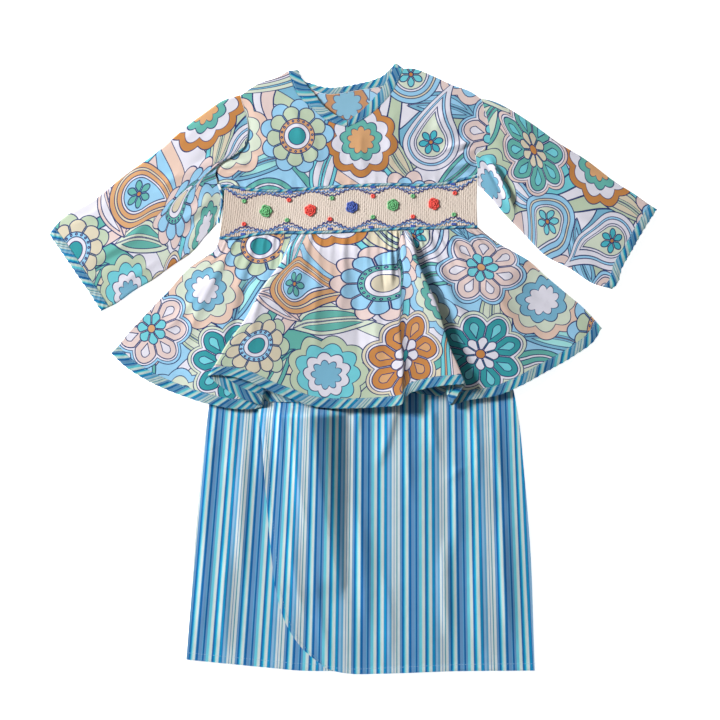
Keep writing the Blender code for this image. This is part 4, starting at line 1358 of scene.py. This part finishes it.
def sector(hem, length, depth, waist, place):
    # The layout of a flared panel: the part of a ring whose outer edge is the hem
    radius = hem[-1] * length.mean() / (hem[-1] - waist)
    turn = (hem - hem[-1] / 2) / radius
    far = radius - depth
    return np.stack([far * np.sin(turn), -far * np.cos(turn)], axis=2) + place


def makePeplumFront():
    grid, along, length, hem = peplumGrid()
    layout = sector(hem, length, (1 - along) * length, peplumLines[-1][0] - peplumLines[0][0], (60, 30))[::-1]
    grid = grid[::-1]
    hemRows = peplum["bindingRows"] + 1
    under, over = [shifted(grid, side * shell / 2)[hemRows - 1:] for side in (-1, 1)]
    clothWall("frontPeplumCloth", "peplum_front", ["backPeplumCloth"], under, over, layout[hemRows - 1:],
              "print_cotton", sheet=grid[hemRows - 1:])

    share = np.linspace(1, 0, hemRows)[:, None]  # 1 at the hem
    strip = grid[:hemRows].copy()
    strip[-1] += (strip[-2] - strip[-1]) * peplum["bindingLap"]
    pucker = puckered(hem, peplum, 0.9, 13)
    bulge = roundedOver(share, 0.05)
    normalUp = shifted(grid, 1.0)[:hemRows] - grid[:hemRows]
    wave = pucker * np.sin(math.pi * share)
    strip = strip + (share ** 2 * pucker)[..., None] * unit(strip[0] - strip[-1])
    half = peplum["bindingHalf"]
    over = strip + (half + bulge + 0.5 * wave)[..., None] * normalUp
    under = strip - (half + 0.5 * bulge - 0.3 * wave)[..., None] * normalUp
    layout = np.stack([0 * share + hem, (1 - share) * peplum["bindingWidth"] + 0 * hem], axis=2)
    clothWall("frontHemBinding", "hem_binding_front", ["backPeplumCloth"], under, over, layout, "bias_stripe",
              (0.0, 0.0))
    seamLines.append(over[-2])

    # The bias cloth turned under along the hem, where the fold shows the wrong side
    under, over, middle = [shifted(grid, depth)[hemRows - 1:hemRows + peplum["facingRows"]]
                           for depth in peplum["facingDepths"]]
    layout = np.stack([np.broadcast_to(-hem, under.shape[:2]), peplum["facingFrom"] + reach(under)], axis=2)
    clothWall("frontHemFacing", None, ["backPeplumCloth"], under, over, layout, "bias_stripe",
              (0.0, 0.0), middle)


def makePeplumBack():
    north = besidePiping(pipingWaist, -seamGap / 2, peplumLeft[0][0], peplumRight[0][0])
    rails = rail(backHem), north, rail(peplumLeft[::-1]), rail(peplumRight[::-1])
    across, along = lattice(*peplum["backDivisions"])
    length = np.linalg.norm(rails[1](across) - rails[0](across), axis=2)
    bound = peplum["bindingWidth"] / length
    panel = patch(*rails, across, bound + along * (1 - bound))
    height = liftOverSkirt(panel) + peplum["backClear"]
    layout = sector(reach(panel[0]), length[0], along * length, peplum["backWaist"], (0, 0)) * (-1, 1)
    clothWall("backPeplumCloth", "peplum_back", ["skirtWrapCloth"], raised(panel, height),
              raised(panel, height + shell), layout + (-40, 120), "print_cotton", (1.0, 0.0))

    across, along = lattice(*peplum["backBindingDivisions"])
    length = np.linalg.norm(rails[1](across) - rails[0](across), axis=2)
    strip = patch(*rails, across, along * (peplum["bindingWidth"] - peplum["backBindingGap"]) / length)
    hem = reach(strip[0])
    pucker = puckered(hem, peplum, 0.8, 12)
    strip = strip + ((1 - along) ** 2 * pucker)[..., None] * unit(strip[0] - strip[-1])
    clear, wall, bulge = peplum["backBindingRise"]
    height = liftOverSkirt(strip) + clear
    swell = bulge * np.sin(math.pi * along) * (1 + pucker)
    layout = np.stack([np.broadcast_to(-hem, along.shape), along * peplum["bindingWidth"]], axis=2)
    flat = raised(strip, height)
    clothWall("backHemBinding", "hem_binding_back", ["skirtWrapCloth"], flat,
              raised(strip, height + wall + swell), layout, "bias_stripe", (0.0, 0.0), flat)


makePeplumBack()
makePeplumFront()
print("peplum made")


# The skirt's waistband, under the peplum

def makeWaistband():
    sides = rail(waistbandLeft), rail(waistbandRight)
    ends = [rail([waistbandLeft[i], waistbandRight[i]]) for i in (0, 1)]
    size = {"radius": skirtStack / 2, "puff": 0, "wander": 0, "wall": 1.3, "rings": 20}
    outer, inner = tubeRings(sides, ends, lambda across: 0, lambda across: 1, size,
                             size["wall"], size["rings"], lambda plan, share: 0)
    layout = np.stack([reachAcross(outer), reach(outer)], axis=2)
    clothTube("skirtWaistbandCloth", "skirt_waistband", outer, inner, layout, "skirt_stripe")


makeWaistband()


# The smocked band and its pipings

smocked = {
    "pleats": 118,
    "columnsPerPleat": 6,
    "rows": 56,
    "base": 1.75,
    "depth": 0.55,
    "shallowest": 0.35,  # the share of its height left between two pleats
    "pinchRows": 8.5,
    "pinch": 0.2,
    "sway": 0.1,
    "stillness": 12,
    "seamReach": 0.14,
    "grooveShade": 0.5,
    "leftShade": (0.27, 0.16),  # painted shade: how much darker the left end is, and how far in
    "pipingAround": 17,
    "pipingUneven": 0.05,
}
pleatTop = layer + smocked["base"] + smocked["depth"]


def makeSmockedBand():
    # Fine pleats, drawn together in pairs by rows of hidden stitches
    size = smocked
    across, along = lattice(size["pleats"] * size["columnsPerPleat"], size["rows"])
    phase = across * size["pleats"]
    row = along * size["pinchRows"] + 0.25 * np.sin(phase * 0.21)
    pinch = size["pinch"] * (1 + 0.5 * np.sin(phase * 0.47 + along * 5))
    sway = pinch * np.sin(math.pi * phase) * np.sin(2 * math.pi * row)
    sway = sway + size["sway"] * np.sin(along * 9 + phase * 0.7)
    sway = sway * ease(along * size["stillness"]) * ease((1 - along) * size["stillness"])
    fold = np.abs(np.sin(math.pi * (phase + sway)))
    stitched = 0.5 + 0.5 * np.cos(4 * math.pi * row)
    atSeam = np.exp(-(np.minimum(along, 1 - along) / size["seamReach"]) ** 2)
    uneven = 1 + 0.15 * np.sin(phase * 1.7 + 3 * np.sin(phase * 0.31)) - 0.25 * stitched + 0.45 * atSeam
    shallow = size["shallowest"]
    height = size["base"] + size["depth"] * (shallow + (1 - shallow) * fold ** 0.8 * uneven)
    south = besidePiping(pipingWaist, pipingRoom, bandLeft[0][0], bandRight[0][0])
    north = besidePiping(pipingTop, -pipingRoom, bandLeft[-1][0], bandRight[-1][0])
    plan = patch(south, north, rail(bandLeft), rail(bandRight), across, along)
    # Painted shade: darker in the grooves between the pleats, more so near the seams, and darker towards the
    # left end
    groove = (1 - fold) ** 2 * (0.75 + 0.25 * np.sin(phase * 2.3 + along * 11))
    darker, far = size["leftShade"]
    shaded = groove * (size["grooveShade"] + 0.3 * atSeam) + darker * np.exp(-(across / far) ** 2)
    # The band's painted shade goes on as a point attribute that its material reads
    clothWall("smockedBandCloth", "smocked_band", [], raised(plan, layer), raised(plan, layer + height),
              planLayout(plan), "smocking", (0.0, 0.0), raised(plan, layer + 1), groove=shaded)


def makePiping(side, rows, radius, lengths):
    # A cord covered in bias cloth, its cover drawn tight by the seam's stitches
    middle = rail(rows)(np.linspace(0, 1, lengths + 1))
    far = reach(middle)[:, None]
    aside = unit(np.gradient(middle, axis=0))[:, ::-1] * (1, -1)
    turns = np.linspace(0, 2 * math.pi, smocked["pipingAround"])
    uneven = smocked["pipingUneven"]
    size = radius * (1 + uneven * np.sin(far / 1.9) + uneven * np.sin(far / 4.3))
    plan = middle[:, None] + (size * np.cos(turns))[..., None] * aside[:, None]
    points = raised(plan, layer + radius + size * np.sin(turns)).reshape(-1, 3)
    caps = [[*middle[i], layer + radius] for i in (0, -1)]
    layout = np.stack([far + 0 * turns, turns * radius + 0 * far], axis=2)
    count = len(points)
    numbers = np.arange(count).reshape(len(middle), -1)
    faces = gridFaces(numbers).tolist()
    faces += [(int(j), int(i), count) for i, j in zip(numbers[0], numbers[0, 1:])]
    faces += [(int(i), int(j), count + 1) for i, j in zip(numbers[-1], numbers[-1, 1:])]
    flat = np.concatenate([layout.reshape(-1, 2), [[0, 0], [far[-1, 0], 0]]])
    addPiece(f"{side}Piping", f"piping_{side}", [*points, *caps], faces, flat, "bias_stripe",
             wrongSide=np.zeros(count + 2))


makeSmockedBand()
makePiping("top", pipingTop, 1.5, 220)
makePiping("waist", pipingWaist, 1.5, 220)
makePiping("side", pipingSide, 1.2, 40)
print("smocked band and pipings made")


# Stitches, set along paths by Geometry Nodes

stitching = {
    # spacing along the path, stitch length and thickness, in millimetres
    "wave": (1.5, 2.3, 1.05),
    "bullion": (0.5, 0.9, 2.1),
    "bud": (0.7, 1.1, 2.2),
    "seam": (3.0, 2.2, 0.34),
}
embroidery = {
    "roses": [(-87, 157, "green"), (-43, 158, "red"), (-1, 161, "blue"), (40, 163, "green"),
              (81, 164, "red")],
    "roseRings": [(6, 4.7, 1.7, 0.4), (5, 2.6, 1.5, 0.8), (3, 0.7, 0.9, 1.1)],  # loops, radius, bow, rise
    "topBuds": [(-109, 167, "green"), (-64, 168, "red"), (-21, 170, "green"), (20, 172, "red"),
                (60, 172, "green"), (102, 175, "red")],
    "lowBuds": [(-109, 144, "red"), (-66, 148, "green"), (-23, 149, "red"), (20, 151, "green"),
                (60, 151.5, "red"), (101, 153.5, "green")],
    "budSize": (1.5, 1.3, 0.2),
    "topDots": [(-110, 178.5), (-63, 176), (-21, 178.5), (20, 181), (60, 181), (100, 184)],
    "lowDots": [(-110, 134), (-67, 139), (-23, 139.4), (18, 141), (60, 142), (101, 144)],
    "dotSize": (1.6, 0.4, 0.3),
    # each wave's room at its seam and how far past the buds it swings: at the top seam, then at the waist's
    "waves": {"navy": [(-2.6, 2.6), (2.6, -2.6)], "light": [(-2.4, 6.2), (2.4, -6.0)]},
    "waveEnds": (0.56, 0.5),  # how far a wave runs past the first and last bud, in spaces between buds
    "waveStep": 0.9,
    "steps": (0.8, 2.5, 4.4),  # the small steps in a wave: height, squareness and pitch
}


def stitchTree():
    # Twisted stitches of one length at one spacing along every path
    given = {"Geometry": "Geometry", "Spacing": "Float", "Stitch Length": "Float", "Thickness": "Float",
             "Thread": "Material"}
    tree, start, end = newGroup("stitchesOnPath", "GeometryNodeTree", given, ("Geometry", "Geometry"))
    curve = made(tree, "GeometryNodeMeshToCurve", {0: start["Geometry"]})
    points = tree.nodes.new("GeometryNodeCurveToPoints")
    points.mode = "LENGTH"
    join(points.inputs["Curve"], curve)
    join(points.inputs["Length"], start["Spacing"])
    ball = made(tree, "GeometryNodeMeshIcoSphere", {"Radius": 0.5, "Subdivisions": 2})
    scale = packed(start["Thickness"], start["Thickness"], start["Stitch Length"])
    placed = made(tree, "GeometryNodeInstanceOnPoints", {
        "Points": Term(points.outputs["Points"]), "Instance": ball,
        "Rotation": Term(points.outputs["Rotation"]), "Scale": scale})
    solid = made(tree, "GeometryNodeRealizeInstances", {0: placed})
    smooth = made(tree, "GeometryNodeSetShadeSmooth", {0: solid})
    join(end, made(tree, "GeometryNodeSetMaterial", {0: smooth, "Material": start["Thread"]}))
    return tree


stitches = stitchTree()


def addStitches(name, paths, kind, thread):
    # paths: runs of points in millimetres, each an open line
    points, edges = [], []
    for path in paths:
        start = len(points)
        points += (np.asarray(path) * mm).tolist()
        edges += [(i, i + 1) for i in range(start, len(points) - 1)]
    mesh = bpy.data.meshes.new(name)
    mesh.from_pydata(points, edges, [])
    piece = bpy.data.objects.new(name, mesh)
    bpy.context.collection.objects.link(piece)
    modifier = piece.modifiers.new("stitches", "NODES")
    modifier.node_group = stitches
    spacing, length, thickness = [size * mm for size in stitching[kind]]
    sockets = {item.name: item.identifier for item in stitches.interface.items_tree if item.in_out == "INPUT"}
    for label, value in {"Spacing": spacing, "Stitch Length": length, "Thickness": thickness,
                         "Thread": finishes[thread]}.items():
        modifier[sockets[label]] = value
    bpy.context.view_layer.update()
    ready = bpy.data.meshes.new_from_object(piece.evaluated_get(bpy.context.evaluated_depsgraph_get()))
    piece.modifiers.clear()
    piece.data = ready
    ready.name = name
    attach(piece, "root")
    return piece


def wavePath(buds, seam, room, depth):
    # From the seam down to each bud and back, in the small steps of stitches taken over the pleats
    places, levels = zip(*[bud[:2] for bud in buds])
    pitch = (places[-1] - places[0]) / (len(places) - 1)
    before, after = embroidery["waveEnds"]
    x = np.arange(places[0] - before * pitch, places[-1] + after * pitch, embroidery["waveStep"])
    x = x[(x > bandLeft[1][0] + 1) & (x < bandRight[1][0] - 1)]
    phase = np.interp(x, places, np.arange(len(places)))
    phase = np.where(x < places[0], (x - places[0]) / pitch, phase)
    phase = np.where(x > places[-1], len(places) - 1 + (x - places[-1]) / pitch, phase)
    swing = np.abs((phase + 0.5) % 1 - 0.5) * 2
    bulge = 1 - ease(swing) * 0.85 - 0.15 * swing
    height, square, step = embroidery["steps"]
    steps = height * np.tanh(square * np.sin(2 * math.pi * x / step)) + 0.3 * np.sin(x * 1.9)
    line = rail(seam)(np.linspace(0, 1, 80))
    edge = np.interp(x, line[:, 0], line[:, 1]) + room
    y = edge + (np.interp(x, places, levels) + depth - edge) * bulge + steps
    return np.stack([x, y, 0 * x + pleatTop + 0.1], axis=1)


def roseLoops(x, y, seed):
    # Bullion loops laid unevenly round a small heart
    uneven = np.random.default_rng(seed)
    loops, spread = [], 0.62
    for count, middle, bow, lift in embroidery["roseRings"]:
        start = uneven.uniform(0, 6)
        for i in range(count):
            angle = start + 2 * math.pi * (i + uneven.uniform(-0.2, 0.2)) / count
            turn = np.linspace(-spread, spread, 9) * 2 * math.pi / count * uneven.uniform(0.8, 1.15)
            far = middle * uneven.uniform(0.88, 1.06) + bow * (np.cos(turn / turn[-1] * 1.5) - 0.5)
            height = pleatTop + lift * uneven.uniform(0.7, 1.3) - 0.5 * (turn / turn[-1]) ** 2
            turn += angle
            loops.append(np.stack([x + far * np.cos(turn), y + far * np.sin(turn), height], axis=1))
    return loops


def makeEmbroidery():
    for number, (x, y, colour) in enumerate(embroidery["roses"], start=1):
        loops = roseLoops(x, y, number)
        rose = addStitches(f"smockRose{number}", loops, "bullion", colour)
        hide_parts(f"smock_rose_{number}")
    buds, turn = {}, np.linspace(0, 2 * math.pi, 13)
    wide, tall, rise = embroidery["budSize"]
    ring = np.stack([wide * np.cos(turn), tall * np.sin(turn), 0 * turn + pleatTop + rise], axis=1)
    for x, y, colour in embroidery["topBuds"] + embroidery["lowBuds"]:
        buds.setdefault(colour, []).append(ring + (x, y, 0))
    for colour, loops in buds.items():
        addStitches(f"{colour}Buds", loops, "bud", colour)
    seams = (embroidery["topBuds"], pipingTop), (embroidery["lowBuds"], pipingWaist)
    for name, thread in (("navy", "navy"), ("light", "lightBlue")):
        waves = [wavePath(*seam, *swing) for seam, swing in zip(seams, embroidery["waves"][name])]
        addStitches(f"{name}Waves", waves, "wave", thread)
    wide, tall, rise = embroidery["dotSize"]
    dots = [[(x - wide, y + tall * k, pleatTop + rise), (x + wide, y + tall * k, pleatTop + rise)]
            for x, y in embroidery["topDots"] + embroidery["lowDots"] for k in (-2, 0, 2)]
    addStitches("blueDots", dots, "wave", "blue")


makeEmbroidery()
addStitches("hemStitches", [line + (0, 0, 0.1) for line in hemLines], "seam", "sewing")
addStitches("bindingStitches", [line + (0, 0, 0.1) for line in seamLines], "seam", "sewing")
print("embroidery made")


# Floor, lights and camera

studio = {
    "floorReach": 6.0,
    "floorColour": (0.93, 0.93, 0.93, 1),
    "floorRoughness": 0.9,
    "floorGlow": 0.8,
    "camera": (0.007, 0.008, 2.005),
    "lens": 100,
    "keyPlace": (-2.6, 1.2, 1.6),
    "keySize": 0.7,
    "keyPower": 190,
    "world": 0.22,
}


def makeStudio():
    scene, link = bpy.context.scene, bpy.context.collection.objects.link
    mesh = bpy.data.meshes.new("studioFloor")
    far = studio["floorReach"]
    mesh.from_pydata([(-far, -far, 0), (far, -far, 0), (far, far, 0), (-far, far, 0)], [], [(0, 1, 2, 3)])
    mesh.materials.append(newMaterial("whitePaper", lambda tree: {
        "Base Color": studio["floorColour"], "Roughness": studio["floorRoughness"],
        "Emission Color": (1, 1, 1, 1), "Emission Strength": studio["floorGlow"]}))
    floor = bpy.data.objects.new("studioFloor", mesh)
    link(floor)

    scene.world = bpy.data.worlds.new("softRoom")
    scene.world.use_nodes = True
    background = scene.world.node_tree.nodes["Background"]
    join(background.inputs["Color"], (1, 1, 1, 1))
    join(background.inputs["Strength"], studio["world"])

    lamp = bpy.data.lights.new("softbox", "AREA")
    lamp.size, lamp.energy = studio["keySize"], studio["keyPower"]
    key = bpy.data.objects.new("softbox", lamp)
    key.location = studio["keyPlace"]
    key.rotation_euler = (-Vector(studio["keyPlace"])).to_track_quat("-Z", "Y").to_euler()
    link(key)

    view = bpy.data.cameras.new("overhead")
    view.lens = studio["lens"]
    camera = bpy.data.objects.new("overhead", view)
    camera.location = studio["camera"]
    link(camera)
    bpy.context.scene.camera = camera
    scene.view_settings.view_transform = "Standard"


makeStudio()
print("studio made")
